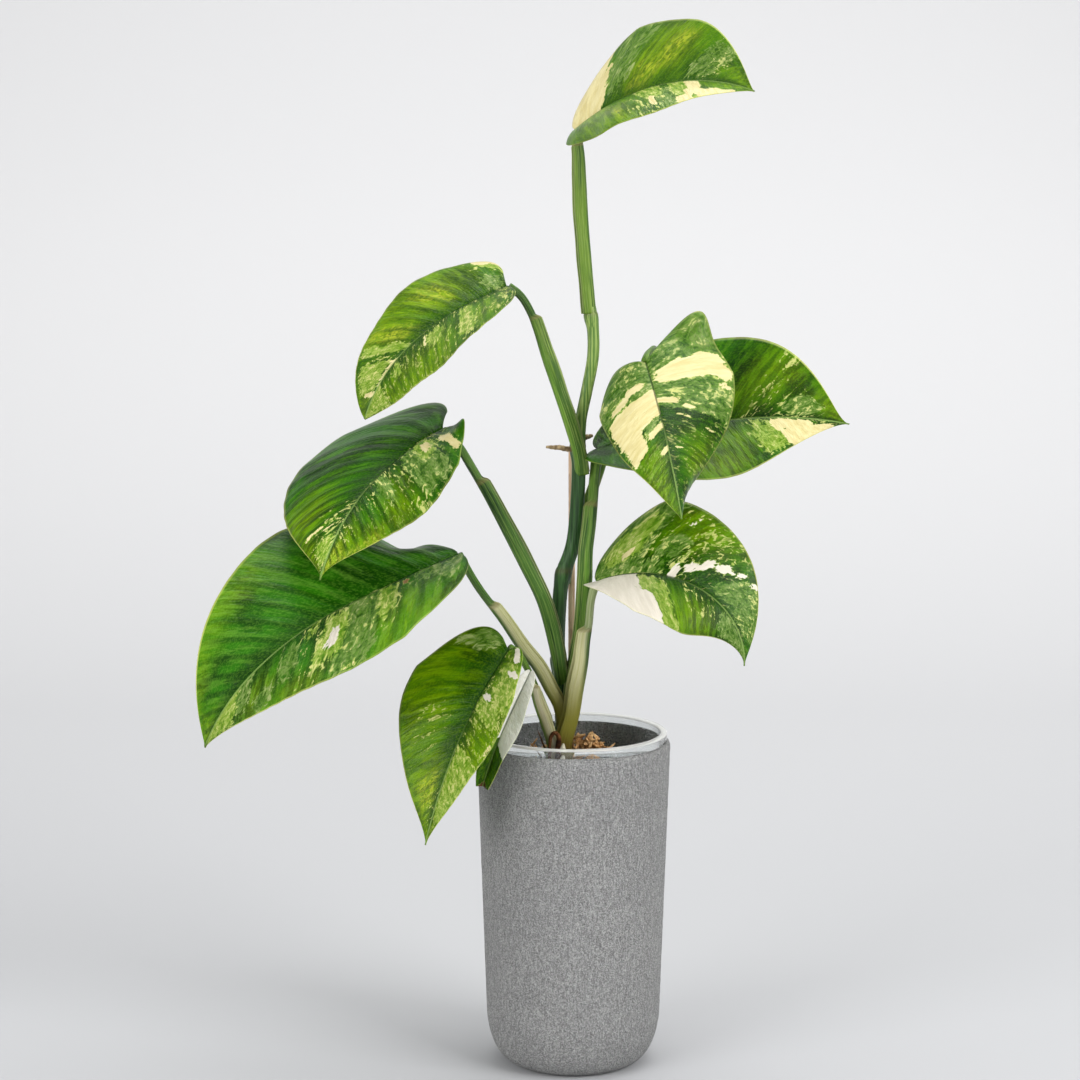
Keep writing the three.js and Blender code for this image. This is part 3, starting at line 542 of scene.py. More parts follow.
def mark_fields(leaf, u, v, w, seed):
    """How far each place lies inside the leaf's patches of each kind, 0 to 1"""
    fields = {kind: np.zeros_like(w) for kind in SOFT_EDGES}
    w = w + EDGE_WAVES[0] * wobble(u * 14 + seed, v * 5, seed + 0 * u)
    away = np.abs(v) + EDGE_WAVES[1] * wobble(u * 10, v * 4 + 7, seed + 0 * u)

    def between(value, low, high, soft):
        return (smooth_step(value, low - soft, low + soft)
                * smooth_step(-value, -high - soft, -high + soft))

    def inside(patch, soft_w, soft_v):
        w0, w1, v0, v1 = (value / 100 for value in patch)
        return between(w, w0, w1, min(soft_w, (w1 - w0) / 2)) * between(away, v0, v1, soft_v)

    for side, on_side in (("left", v <= 0), ("right", v >= 0)):
        for kind, patches in leaf[side].items():
            for patch in patches:
                fields[kind] = np.maximum(fields[kind], on_side * inside(patch, *SOFT_EDGES[kind]))
                if kind in ("cream", "white"):
                    halo = HALO_SHARE * on_side * inside(patch, *HALO_EDGES)
                    fields["grey"] = np.maximum(fields["grey"], halo)
    return fields


def blade_relief(leaf, u, v, w, half, seed):
    """Height of the ribs and of the gentle unevenness, in millimetres"""
    away = np.abs(v)
    fade = smooth_step(away, *RIB_EDGE) * (1 - 0.5 * away) * smooth_step(1 - u, 0.0, 0.25)
    ribs = leaf["ribs"] * np.cos(2 * np.pi * RIB_COUNT * w) * fade
    bumps = UNEVENNESS * wobble(u * 5 + seed, v * 2.5, seed + 0 * u)
    return ribs + bumps * smooth_step(half, 2, 20)


def blade_faces(rows, columns):
    """Faces of the upper and the lower side, and the rim that joins them"""
    total = rows * columns
    rim = [*range(columns - 1), *range(columns - 1, total - 1, columns)]
    rim += [*range(total - 1, total - columns, -1), *range(total - columns, 0, -columns)]
    return [*grid_faces(rows, columns), *grid_faces(rows, columns, offset=total, flip=True),
            *((b, a, a + total, b + total) for a, b in zip(rim, rim[1:] + rim[:1]))]


def build_blade(leaf, seed):
    name = leaf["name"]
    rows = np.linspace(0, 1, BLADE_ROWS) ** ROW_CROWDING * leaf.get("end", 1)
    side = (np.arange(1, HALF_COLUMNS + 1) / HALF_COLUMNS) ** COLUMN_CROWDING
    u, v = np.meshgrid(rows, np.concatenate([-side[::-1], [0], side]), indexing="ij")
    points, half = blade_surface(leaf, u, v)
    points = pull_corners(leaf, points, v)
    normal = np.cross(np.gradient(points, axis=1), np.gradient(points, axis=0))
    normal /= np.maximum(np.linalg.norm(normal, axis=-1, keepdims=True), 1e-9)
    w = vein_place(leaf, u, v)
    points = points + normal * blade_relief(leaf, u, v, w, half, seed)[..., None]

    distance = np.abs(v) * half
    thin = BLADE_THICK / 2 * (1 - MARGIN_THINNING * smooth_step(np.abs(v), 0.85, 1))
    strength = smooth_step(half, 1, 8) * (1 - 0.5 * u)
    groove = GROOVE_DEPTH * strength * np.exp(-(distance / GROOVE_WIDTH) ** 2)
    keel = KEEL_DEPTH * strength * np.exp(-(distance / KEEL_WIDTH) ** 2)
    upper = points + normal * (thin - groove)[..., None]
    lower = points - normal * (thin + keel)[..., None]

    fields = mark_fields(leaf, u, v, w, seed)
    right_side = np.where(v < 0, 0.0, 1.0)
    shape = rows_of(distance, u, 0 * u)
    attributes = {
        "place": rows_of(w, np.abs(v), right_side + 2 * seed),
        "marks": rows_of(fields["cream"], fields["white"], fields["grey"]),
        "more_marks": rows_of(fields["pale"], fields["lime"], fields["rust"]),
        "flecks": rows_of(fields["dapple"], np.where(v < 0, *leaf["speckle"]), fields["gold"]),
    }
    attributes = {key: np.tile(values, (2, 1)) for key, values in attributes.items()}
    attributes["shape"] = np.concatenate([shape, shape + (0, 0, 1)])
    points = np.concatenate([upper.reshape(-1, 3), lower.reshape(-1, 3)])
    piece = make_piece("blade_" + name, points, blade_faces(*u.shape), leaf_material(leaf), attributes)
    place_piece(piece, leaf["slots"][0], "leaf_" + name)


def leaf_material(leaf):
    """Streaky greens, marbled and cream patches with ends that run out along the veins, painted shade along
    the midrib and in the vein grooves, and painted glow and sheen in some lime and marbled patches
    """
    shader = Shader("leaf_" + leaf["name"], roughness=0.32, specular=leaf.get("gloss", LEAF_GLOSS))
    shader.set("Specular Tint", LEAF_SHEEN)
    w, v, seed = shader.attribute("place")
    cream, white, grey = shader.attribute("marks")
    pale, lime, rust = shader.attribute("more_marks")
    dapple, speckle, gold = shader.attribute("flecks")
    distance, run, under = shader.attribute("shape")
    dark, mid, bright = GREENS[leaf["green"]]

    def veined(along, out, *options):
        return shader.noise(shader.vector(w * along, v * out, seed * 3.7), 1.0, *options)

    streak, fine, broad, clumps, curls, grain = (veined(*row) for row in VEIN_NOISES)

    def ragged(field, soft, *noises):
        """The share of a patch, its edge made ragged by noises, each with its amount"""
        value = field * EDGE_GAIN - EDGE_SHIFT
        for source, amount in noises:
            value = value + (source - 0.5) * amount
        return value.step(0.5 - soft, 0.5 + soft)

    def marbled(tones):
        swirl = streak * 0.4 + curls * 0.6
        colour = shader.blend(swirl.step(0.15, 0.4), tones[0], tones[1])
        colour = shader.blend(swirl.step(0.4, 0.62), colour, tones[2])
        return shader.blend(swirl.step(0.68, 0.84), colour, tones[3])

    shader.colour = shader.blend(broad.step(0.1, 0.9), dark, mid)
    # Lime patches: the leaf's own yellow-green, and in places painted glow of light through the blade and
    # painted sheen
    shader.paint(lime * streak.step(0.25, 0.75, 0.26, 0.62), LIME)
    shader.paint(gold * curls.step(0.3, 0.75, 0.12, 0.75), GOLD)
    shader.paint(streak.step(0.5, 0.85, 0.0, 0.35), bright)
    shader.paint(fine.step(0.55, 0.0, 0.0, 0.2), dark)
    # Painted shade: darker towards the midrib, where the blade folds into a crease
    shader.paint(v.step(0.0, 0.32, 0.75, 0.0), dark)
    # Painted shade in the grooves between the side veins, stronger on ribbed leaves
    groove = shader.calc("COSINE", w * (2 * math.pi * RIB_COUNT)).step(0.2, 1.0)
    groove = groove * v.step(1.0, 0.5, 0.3, 1.0)
    shader.paint(groove * min(0.1 + 2 * leaf["ribs"], 0.65), dark)

    # Grey and pale marbling; a few of these patches are painted sheen and a painted highlight
    for kind, field, soft in (("grey", grey, 0.18), ("pale", pale, 0.2)):
        share = ragged(field, soft, (streak, 0.4), (curls, 0.8))
        shader.paint(share * 0.9, marbled(MARBLES[kind]))

    mixed = streak * 0.5 + curls * 0.9
    mixed = mixed + dapple * clumps.step(0.4, 0.62, 0.0, 0.25) + speckle * 0.5
    flecks = mixed.step(1.02, 1.12) * fine.step(0.25, 0.5, 0.3, 0.9)
    flecks = flecks * (speckle + dapple).step(0.02, 0.12)
    shader.paint(flecks, shader.blend(curls, *FLECK_TONES))
    shader.paint(grain.step(0.5, 0.8, 0.0, 0.2), bright)
    shader.paint(grain.step(0.5, 0.2, 0.0, 0.16), dark)

    for kind, field in (("cream", cream), ("white", white), ("rust", rust)):
        rim = ragged(field, 0.12, (streak, 0.4), (curls, 0.7), (fine, 0.15))
        shader.paint(rim * 0.8, MARBLES["pale"][2])
        inner = ragged(field - 0.08, 0.07, (streak, 0.35), (curls, 0.6), (fine, 0.12))
        shader.paint(inner, shader.blend(streak, *leaf.get(kind + "s", PATCH_TONES[kind])))

    shader.paint(v.step(0.968, 0.99) * run.step(0.4, 0.85, 0.25, 0.8), MARGIN_TONE)
    # The midrib's line: dark towards the base, painted shade in its crease, paling to its own light green
    # towards the tip
    line = distance.step(0.2, 0.6, 0.7, 0.0)
    shader.paint(line, shader.blend(run.step(0.25, 0.85), dark, MIDRIB_TONE))
    shader.paint(under * 0.3, UNDERSIDE_TONE)
    return shader.finish(streak + fine * 0.7, 0.00016)


# Stalks and stems

def cubic(s, start, end, leaving, arriving):
    """The curve from start to end with these slopes at its ends, at share s of the way"""
    return ((2 * s ** 3 - 3 * s ** 2 + 1) * start + (s ** 3 - 2 * s ** 2 + s) * leaving
            + (3 * s ** 2 - 2 * s ** 3) * end + (s ** 3 - s ** 2) * arriving)


def smooth_path(points, count):
    """Even stations on a centripetal spline through points, with headings and run in mm"""
    p = np.array(points, float)
    p = np.vstack([2 * p[0] - p[1], p, 2 * p[-1] - p[-2]])
    s = np.linspace(0, 1, PATH_FINENESS, endpoint=False)[:, None]
    dense = []
    for p0, p1, p2, p3 in zip(p, p[1:], p[2:], p[3:]):
        d0, d1, d2 = (np.linalg.norm(b - a) ** 0.5 for a, b in ((p0, p1), (p1, p2), (p2, p3)))
        t1 = ((p1 - p0) / d0 - (p2 - p0) / (d0 + d1) + (p2 - p1) / d1) * d1
        t2 = ((p2 - p1) / d1 - (p3 - p1) / (d1 + d2) + (p3 - p2) / d2) * d1
        dense.append(cubic(s, p1, p2, t1, t2))
    dense = np.vstack([*dense, p[-2:-1]])
    lengths = np.concatenate([[0], np.cumsum(np.linalg.norm(np.diff(dense, axis=0), axis=1))])
    run = lengths[-1] * (np.linspace(0, 1, count) if np.isscalar(count) else np.asarray(count))
    path = np.stack([np.interp(run, lengths, dense[:, k]) for k in range(3)], -1)
    heading = np.gradient(path, axis=0)
    heading /= np.linalg.norm(heading, axis=-1, keepdims=True)
    return path, heading, run


def sweep(points, facing, stations, section):
    """Points, faces, and the stations' runs of a closed tube; section(t, height) is its ring"""
    path, heading, run = smooth_path(points, stations)
    rings = []
    for centre, along, t in zip(path, heading, run / run[-1]):
        front = np.array(facing, float) - along * np.dot(facing, along)
        front /= np.linalg.norm(front)
        outline = section(t, centre[2])
        rings.append(centre + outline[:, :1] * np.cross(along, front) + outline[:, 1:2] * front)
    count = len(rings[0])
    faces = grid_faces(len(rings), count, closed=True)
    faces.append(tuple(range(count))[::-1])
    last = (len(rings) - 1) * count
    faces.append(tuple(range(last, last + count)))
    return np.vstack(rings), faces, run


def rod(points, facing, stations, sides, radius):
    """Points and faces of a round rod; radius(angle, t, height) says how thick it is"""
    angle = whole_turn(sides)
    return sweep(points, facing, stations, lambda t, height: ring(angle, radius(angle, t, height)))[:2]


# Half of a winged section, from the middle of the back over a wing's lip to the channel's
# floor: sideways as a share of the half width, then the shares of back, wing and floor
WINGED_HALF = [
    (0, -1, 0, 0), (0.42, -0.93, 0, 0), (0.8, -0.62, 0, 0), (1, 0, 0, 0), (0.97, 0, 0.38, 0),
    (0.82, 0, 0.7, 0), (0.62, 0, 0.93, 0), (0.46, 0, 1, 0), (0.32, 0, 0.9, 0), (0.2, 0, 0.45, 0.5),
    (0, 0, 0, 1),
]


def half_section(count):
    """The half section's table, smoothed to count evenly spaced rows"""
    table = np.array(WINGED_HALF, float)
    mirror = np.array([-1, 1, 1, 1])
    padded = np.vstack([table[1] * mirror, table, table[-2] * mirror])
    rows = []
    for place in np.linspace(0, len(table) - 1, count):
        i = min(int(place), len(table) - 2)
        a, b, c, d = padded[i:i + 4]
        rows.append(cubic(place - i, b, c, (c - a) / 2, (d - b) / 2))
    return np.array(rows)


def build_stalk(leaf, seed):
    """A winged sheath that ends in a slanting cut, and a round neck above it"""
    name = leaf["name"]
    half, back, wing, channel = leaf["section"]
    end, neck = leaf["wing_end"], leaf["neck"]
    per_side = SECTION_POINTS // 2 + 1
    table = half_section(per_side)
    plain = ring(np.linspace(math.pi, 0, per_side), neck)
    below = np.linspace(0, end, STALK_STATIONS)
    beyond = end + (1 - end) * np.linspace(0.015, 1, STALK_STATIONS // 3)

    def section(t, height):
        thin = float(smooth_step(t, end - TAPER, end + CUT))
        wide = half + (neck - half) * thin
        rear = back + (neck - back) * thin
        tall = wing * (1 - 0.15 * thin) * (1 + 0.03 * math.sin(t * 23 + seed))
        floor = tall - CHANNEL_DROP * channel
        winged = np.stack([table[:, 0] * wide, table[:, 1:] @ np.array([rear, tall, floor])], -1)
        knee = 1 + KNEE_SWELL * float(smooth_step(t, *KNEE))
        share = float(smooth_step(t, end - 0.4 * CUT, end + CUT))
        side = winged * (1 - share) + plain * knee * share
        return np.vstack([side, side[-2:0:-1] * (-1, 1)])

    route = [leaf["foot"], *leaf["stalk"]] if "foot" in leaf else leaf["stalk"]
    points, faces, run = sweep(route, leaf["adaxial"], np.concatenate([below, beyond]), section)
    around = np.concatenate([np.linspace(1, 0, per_side), np.linspace(0, -1, per_side)[1:-1]])
    turn = np.tile(around, len(run))
    reach = np.repeat(run, len(around))
    share = reach / run[-1]
    winged = 1 - smooth_step(share, end, end + CUT)
    lip = np.exp(-((np.abs(turn) - LIP_PLACE) / LIP_WIDTH) ** 2) * winged
    attributes = {"stalk": rows_of(reach, turn, lip),
                  "stalk_share": rows_of(share, winged, 0 * share + seed)}
    piece = make_piece("stalk_" + name, points, faces, stalk_material(leaf), attributes)
    place_piece(piece, leaf["slots"][1], "petiole_" + name)


def stalk_material(leaf):
    """Fine lengthwise stripes, a paler sheath with light lips, brown where it leaves the mix"""
    shader = Shader("stalk_" + leaf["name"], roughness=0.36, specular=0.3)
    reach, turn, lip = shader.attribute("stalk")
    share, winged, seed = shader.attribute("stalk_share")

    def lengthwise(around, along, *options):
        return shader.noise(shader.vector(turn * around, reach * along, seed), 1.0, *options)

    bands = lengthwise(7, 0.012, 3)
    stripes = lengthwise(24, 0.03, 3, 0.6)
    fine = lengthwise(60, 0.08, 2)

    def striped(key):
        dark, mid, light = STALK_TONES[key]
        colour = shader.blend(bands.step(0.36, 0.6), dark, mid)
        colour = shader.blend(stripes.step(0.5, 0.72, 0.0, 0.45), colour, light)
        return shader.blend(fine.step(0.5, 0.7, 0.0, 0.3), colour, dark)

    body, sheath, neck = (striped(key) for key in leaf["tones"])
    wrap = (shader.calc("ABSOLUTE", turn) + stripes * 0.05).step(0.62, 0.74, 1.0, 0.0)
    shader.colour = shader.blend(wrap * winged, body, sheath)
    shader.paint(1.0 - winged, neck)
    shader.paint(lip * 0.6, LIP_TONE)
    cut_end = share.step(leaf["wing_end"] - 0.012, leaf["wing_end"]) * winged
    shader.paint(cut_end * 0.5, CUT_TONE)
    if "foot_tint" in leaf:
        for low, high, colour in FOOT_FADES:
            shader.paint(reach.step(low, high, leaf["foot_tint"], 0.0), colour)
    return shader.finish(stripes + fine * 0.6, 0.00012)


def flutes(angle, place, waves):
    """How far a rod bulges; a wave is its height, how many go round, and its turn on the way"""
    return sum(height * np.cos(angle * count + place * turn) for height, count, turn in waves)


STEM_POINTS = [
    (-5, 3, 112), (-5.5, 3, 164), (-6.5, 3, 188), (-8, 3, 209), (-7.6, 3, 235), (-5.6, 3, 253),
    (-0.5, 3, 269), (1.5, 3, 286), (2.5, 2, 310), (2, 2, 318), (3.5, 2, 333), (6.5, 2, 348),
    (9.5, 2, 365), (9.5, 2, 378), (8.2, 2, 386.5), (7.6, 2, 390.5),
]
STEM_R = 3.6
STEM_TOP_R = 2.9
THINNING_HEIGHT = 322
NODE_HEIGHTS = (209, 254, 319, 385)
NODE_SWELL = 0.7
NODE_SPREAD = 4
# The scar's height above its node and its spread, and the same for the stain round it
SCAR = (2.5, 0.5)
STAIN = (2, 1.6)
SCAR_DEPTH = 0.25
STEM_FLUTES = ((0.12, 5, 0.03), (0.1, 2, 0.05))
STEM_STATIONS = 260
STEM_SIDES = 36
STEM_LOW_TONES = ((30, 66, 26), (60, 106, 44))
STEM_HIGH_TONES = ((86, 124, 46), (148, 174, 88))
SCAR_TONE = (88, 78, 40)


def build_stem():
    def near_nodes(height, above, spread):
        return sum(np.exp(-((height - node - above) / spread) ** 2) for node in NODE_HEIGHTS)

    def radius(angle, t, height):
        thin = float(smooth_step(height, THINNING_HEIGHT, THINNING_HEIGHT + 15))
        swell, scar = near_nodes(height, 0, NODE_SPREAD), near_nodes(height, *SCAR)
        r = STEM_R + (STEM_TOP_R - STEM_R) * thin + NODE_SWELL * swell - SCAR_DEPTH * scar
        return r + flutes(angle, height, STEM_FLUTES)

    points, faces = rod(STEM_POINTS, (1, 0, 0), STEM_STATIONS, STEM_SIDES, radius)
    height = points[:, 2]
    attributes = {"stem": rows_of(height, near_nodes(height, *STAIN), 0 * height)}
    piece = make_piece("stem", points, faces, stem_material(), attributes)
    place_piece(piece, "stem_green", "main_stem")


def stem_material():
    """Dark striped green with brown scars at the nodes, lighter above the upper node"""
    shader = Shader("stem", roughness=0.42)
    height, scar, _ = shader.attribute("stem")
    stripes = shader.upright_noise(900, 30, detail=3)
    low = shader.blend(stripes, *STEM_LOW_TONES)
    high = shader.blend(stripes.step(0.3, 0.7), *STEM_HIGH_TONES)
    shader.colour = shader.blend(height.step(316, 330), low, high)
    shader.paint(scar * 0.45, SCAR_TONE)
    return shader.finish(stripes, 0.0002)


STAKE_PLACE = (-1, 9)
STAKE_R = 1.7
STAKE_HEIGHTS = (40, 140, 316)
STAKE_FLUTES = ((0.02, 3, 9), (0.015, 5, -23))
STAKE_TONES = ((228, 182, 146), (255, 226, 192))
KNOT_TONE = (150, 104, 74)
ROOT_R = 1.35
ROOT_TAPER = 0.55
ROOT_FLUTES = ((0.1, 3, 14),)
ROOT_TONES = ((112, 88, 58), (208, 182, 138))
ROOTS = dict(
    left=[(-0.6, -1.6, 318.2), (-8, -3.6, 319.5), (-14, -6, 320)],
    right=[(4.5, 4.6, 323.4), (7, 5.4, 324.1), (9.6, 6, 324.6)],
)


def build_stake():
    def radius(angle, t, height):
        return STAKE_R * (1 + flutes(angle, t, STAKE_FLUTES))

    points, faces = rod([(*STAKE_PLACE, z) for z in STAKE_HEIGHTS], (0, -1, 0), 60, 24, radius)
    place_piece(make_piece("stake", points, faces, stake_material()), "stake_wood", "support_stake")


def stake_material():
    """Pale peeled wood with a long grain"""
    shader = Shader("stake_wood", roughness=0.7)
    grain = shader.upright_noise(1500, 40, detail=4)
    knots = shader.upright_noise(200, 70, detail=2)
    shader.colour = shader.blend(grain, *STAKE_TONES)
    shader.paint(knots.step(0.7, 0.95) * 0.4, KNOT_TONE)
    return shader.finish(grain, 0.00015)


def build_roots():
    def radius(angle, t, height):
        rings = 0.06 * math.sin(t * 40)
        return ROOT_R * (1 - ROOT_TAPER * t ** 3) * (1 + flutes(angle, t, ROOT_FLUTES) + rings)

    material = root_material()
    for side, points in ROOTS.items():
        piece = make_piece("root_" + side, *rod(points, (0, 0.3, 1), 36, 16, radius), material)
        place_piece(piece, "root_brown", "aerial_root_" + side)


def root_material():
    """Dry corky brown in patches"""
    shader = Shader("root", roughness=0.75)
    patches = shader.noise(shader.position(), scale=420, detail=4)
    shader.colour = shader.blend(patches, *ROOT_TONES)
    return shader.finish(patches, 0.0003)


# Pot and cup

POT_TOP = 168.5
POT_FOOT_R = 28.8
POT_SHOULDER = (44.9, 29)
POT_RIM_R = 49.6
POT_RIM_ROUND = 2.2
POT_WALL = 3.2
POT_FLOOR = 5
POT_FOOT_STEPS = 16
POT_MESH_STEP = 1.6
POT_SIDES = 256
# Height of the coarse and fine roughness, and their fineness round the pot and upwards
POT_COARSE = (0.1, 14, 0.12)
POT_FIBRES = (0.16, 40, 0.35)
POT_TONES = ((138, 138, 137), (174, 174, 173))
POT_FIBRE_TONE = (122, 122, 121)
POT_SPECKLE_TONE = (206, 206, 204)
POT_GRIT_TONE = (84, 84, 84)
POT_BROAD_TONE = (120, 122, 124)

CUP_RIM_TOP = 173.4
CUP_RIM_R = 48
CUP_RIM_DEPTH = 4.6
CUP_RIM_THICK = 1.4
CUP_OUTER_ROUND = 1.2
CUP_INNER_ROUND = 0.8
CUP_TOP_R = 45.6
CUP_FOOT_R = 36
CUP_BOTTOM = 16
CUP_WALL = 1
CUP_MESH_STEP = 8
CUP_SIDES = 160
CUP_TONES = ((237, 239, 239), (248, 248, 244))


def lathe(profile, sides, roughen=None):
    """Points and faces of a body round the upright axis; roughen(x, y, z, r) moves its radius"""
    profile = np.array(profile, float)
    r, turn = np.meshgrid(profile[1:-1, 0], whole_turn(sides), indexing="ij")
    z = np.repeat(profile[1:-1, 1][:, None], sides, 1)
    x, y = np.cos(turn), np.sin(turn)
    if roughen:
        r = r + roughen(x, y, z, r)
    points = np.stack([r * x, r * y, z], -1).reshape(-1, 3)
    rows = len(profile) - 2
    faces = grid_faces(rows, sides, closed=True)
    foot, head = len(points), len(points) + 1
    points = np.vstack([points, [[0, 0, profile[0, 1]], [0, 0, profile[-1, 1]]]])
    last = (rows - 1) * sides
    faces += [(foot, (k + 1) % sides, k) for k in range(sides)]
    faces += [(head, last + k, last + (k + 1) % sides) for k in range(sides)]
    return points, faces


def dense_profile(corners, step):
    """The profile with points added so that none lie further apart than step"""
    corners = [np.array(corner, float) for corner in corners]
    line = [corners[0]]
    for start, end in zip(corners, corners[1:]):
        pieces = max(1, math.ceil(np.linalg.norm(end - start) / step))
        line += [start + (end - start) * k / pieces for k in range(1, pieces + 1)]
    return line


def build_pot():
    shoulder_r, shoulder_z = POT_SHOULDER
    inner = POT_RIM_R - POT_WALL
    foot = []
    for i in range(1, POT_FOOT_STEPS + 1):
        angle = i / POT_FOOT_STEPS * math.pi / 2
        reach = (shoulder_r - POT_FOOT_R) * math.sin(angle) ** 0.9
        foot.append((POT_FOOT_R + reach, shoulder_z * (1 - math.cos(angle))))
    outside = dense_profile([(POT_FOOT_R, 0), *foot, (POT_RIM_R - 0.4, POT_TOP - 14),
                             (POT_RIM_R, POT_TOP - POT_RIM_ROUND)], POT_MESH_STEP)
    inside = [(POT_RIM_R - 0.6, POT_TOP - 0.6), (POT_RIM_R - 1.8, POT_TOP), (inner + 0.4, POT_TOP),
              (inner, POT_TOP - 1), (shoulder_r - POT_WALL, shoulder_z),
              (shoulder_r - POT_WALL - 3.5, shoulder_z / 2), (POT_FOOT_R, POT_FLOOR)]

    def roughen(x, y, z, r):
        """Fibres on the outside, stronger on the right, none on the foot's flat"""
        outer = smooth_step(z, 1, 6) * (r > inner + 1.2 - 4 * (z < POT_TOP - 20))
        outer = outer * (np.arange(len(z))[:, None] < len(outside))
        coarse, fibres = (height * wobble(x * around, y * around, z * upward)
                          for height, around, upward in (POT_COARSE, POT_FIBRES))
        return outer * (coarse + fibres * (0.8 + 0.5 * x))

    points, faces = lathe([(0, 0), *outside, *inside, (0, POT_FLOOR)], POT_SIDES, roughen)
    place_piece(make_piece("pot", points, faces, pot_material()), "pot_coat", "cover_pot")


def pot_material():
    """Matt speckled grey with upright fibrous streaks"""
    shader = Shader("pot_coat", roughness=0.92, specular=0.25)
    place = shader.position()
    threads = shader.upright_noise(900, 260, detail=3, rough=0.6)
    fibres = shader.upright_noise(420, 40, detail=3)
    speckle = shader.noise(place, scale=1100, detail=2)
    grit = shader.noise(place, scale=1900, detail=1)
    broad = shader.noise(place, scale=22, detail=2)
    shader.colour = shader.blend(threads, *POT_TONES)
    shader.paint(fibres * 0.16, POT_FIBRE_TONE)
    shader.paint(speckle.step(0.35, 0.9) * 0.45, POT_SPECKLE_TONE)
    shader.paint(grit.step(0.55, 0.85) * 0.6, POT_GRIT_TONE)
    shader.paint(broad * 0.12, POT_BROAD_TONE)
    return shader.finish(threads + (fibres * 0.5 + speckle * 0.8), 0.0006)


def build_cup():
    lip = CUP_RIM_TOP - CUP_RIM_DEPTH
    under_rim = CUP_RIM_TOP - CUP_RIM_THICK
    inner = CUP_TOP_R - CUP_WALL

    def bow(centre_r, radius, angles):
        centre_z = CUP_RIM_TOP - radius
        return [(centre_r + radius * math.cos(a), centre_z + radius * math.sin(a)) for a in angles]

    roll = bow(CUP_RIM_R - CUP_OUTER_ROUND, CUP_OUTER_ROUND, np.linspace(0, math.pi / 2, 7))
    crown = bow(inner + CUP_INNER_ROUND, CUP_INNER_ROUND, np.linspace(math.pi / 2 + 0.3, math.pi, 6))
    profile = dense_profile([
        (CUP_FOOT_R, CUP_BOTTOM), (CUP_TOP_R, lip - 0.6), (CUP_TOP_R + 0.2, under_rim),
        (CUP_RIM_R - CUP_WALL, under_rim), (CUP_RIM_R - CUP_WALL, lip), (CUP_RIM_R - 0.5, lip - 0.3),
        (CUP_RIM_R, lip), *roll, *crown, (inner, under_rim),
        (CUP_FOOT_R - CUP_WALL, CUP_BOTTOM + CUP_WALL)], CUP_MESH_STEP)
    points, faces = lathe([(0, CUP_BOTTOM), *profile, (0, CUP_BOTTOM + CUP_WALL)], CUP_SIDES)
    place_piece(make_piece("cup", points, faces, cup_material()), "clear_cup", "inner_cup")


def cup_material():
    """Clear plastic, milky along the top of its rolled rim"""
    shader = Shader("clear_cup", roughness=0.05, specular=0.35)
    place = shader.position()
    height = shader.split(place)[2]
    milky = height.step((CUP_RIM_TOP - 1.5) * MM, (CUP_RIM_TOP - 0.6) * MM)
    shader.colour = shader.blend(milky, *CUP_TONES)
    shader.set("Transmission Weight", milky.step(0.0, 1.0, 0.97, 0.5))
    shader.set("IOR", 1.15)
    shader.set("Coat Weight", 0.25)
    shader.set("Coat Roughness", 0.05)
    return shader.finish(shader.noise(place, scale=60, detail=2), 0.00003)


# Potting mix

MIX_LEVEL = 151
MIX_MOUND = 7
MOUND_CENTRE = (-3, 0)
MOUND_SPREAD = 22
BED_SIDES = 120
BED_TOP_RINGS = 46
BED_SIDE_RINGS = 26
# Fineness and height of the lumps on the mix
LUMPS = ((0.22, 1.6), (0.6, 0.8))
CHIP_SEED = 11
CHIP_ROWS = 4
CHIP_SIDES = 6
BARK_CHIPS = 420
FIBRES = 150
# Least and greatest length, width and thickness of the chips and flakes
BARK_SIZES = ((3, 8), (1.6, 4), (1, 2.4))
HUSK_SIZES = ((3.5, 7.5), (1.6, 3.4), (0.7, 1.6))
BED_TONES = ((26, 19, 13), (74, 54, 36))
BARK_TONES = ((30, 20, 13), (104, 74, 48))
HUSK_TONES = ((188, 134, 80), (250, 210, 154))
FIBRE_TONES = ((80, 52, 30), (178, 138, 94))


def mix_height(x, y):
    distance = np.hypot(x - MOUND_CENTRE[0], y - MOUND_CENTRE[1])
    return MIX_LEVEL + MIX_MOUND * np.exp(-((distance / MOUND_SPREAD) ** 2))


def mix_radius(z):
    slope = (CUP_TOP_R - CUP_FOOT_R) / (CUP_RIM_TOP - CUP_RIM_DEPTH - CUP_BOTTOM)
    return CUP_FOOT_R - CUP_WALL - 0.5 + slope * (z - CUP_BOTTOM)


def build_bed():
    """The body of the mix: a bumpy top and a side that fills the cup"""
    bottom = CUP_BOTTOM + CUP_WALL + 0.3
    outer = mix_radius(MIX_LEVEL)
    top = [(outer * share, MIX_LEVEL) for share in np.linspace(1, 0.02, BED_TOP_RINGS)]
    side = [(mix_radius(z), z) for z in np.linspace(bottom, MIX_LEVEL - 1.5, BED_SIDE_RINGS)]
    points, faces = lathe([(0, bottom), *side, *top, (0, MIX_LEVEL)], BED_SIDES)
    x, y, z = points.T
    lumps = sum(height * wobble(x * fine, y * fine, z * fine) for fine, height in LUMPS)
    on_top = z > MIX_LEVEL - 1
    z[on_top] = mix_height(x, y)[on_top] + lumps[on_top] - 1
    material = mix_material("mix_bed", *BED_TONES, 0.0009)
    place_piece(make_piece("mix_bed", np.stack([x, y, z], -1), faces, material), "potting_mix", "substrate")


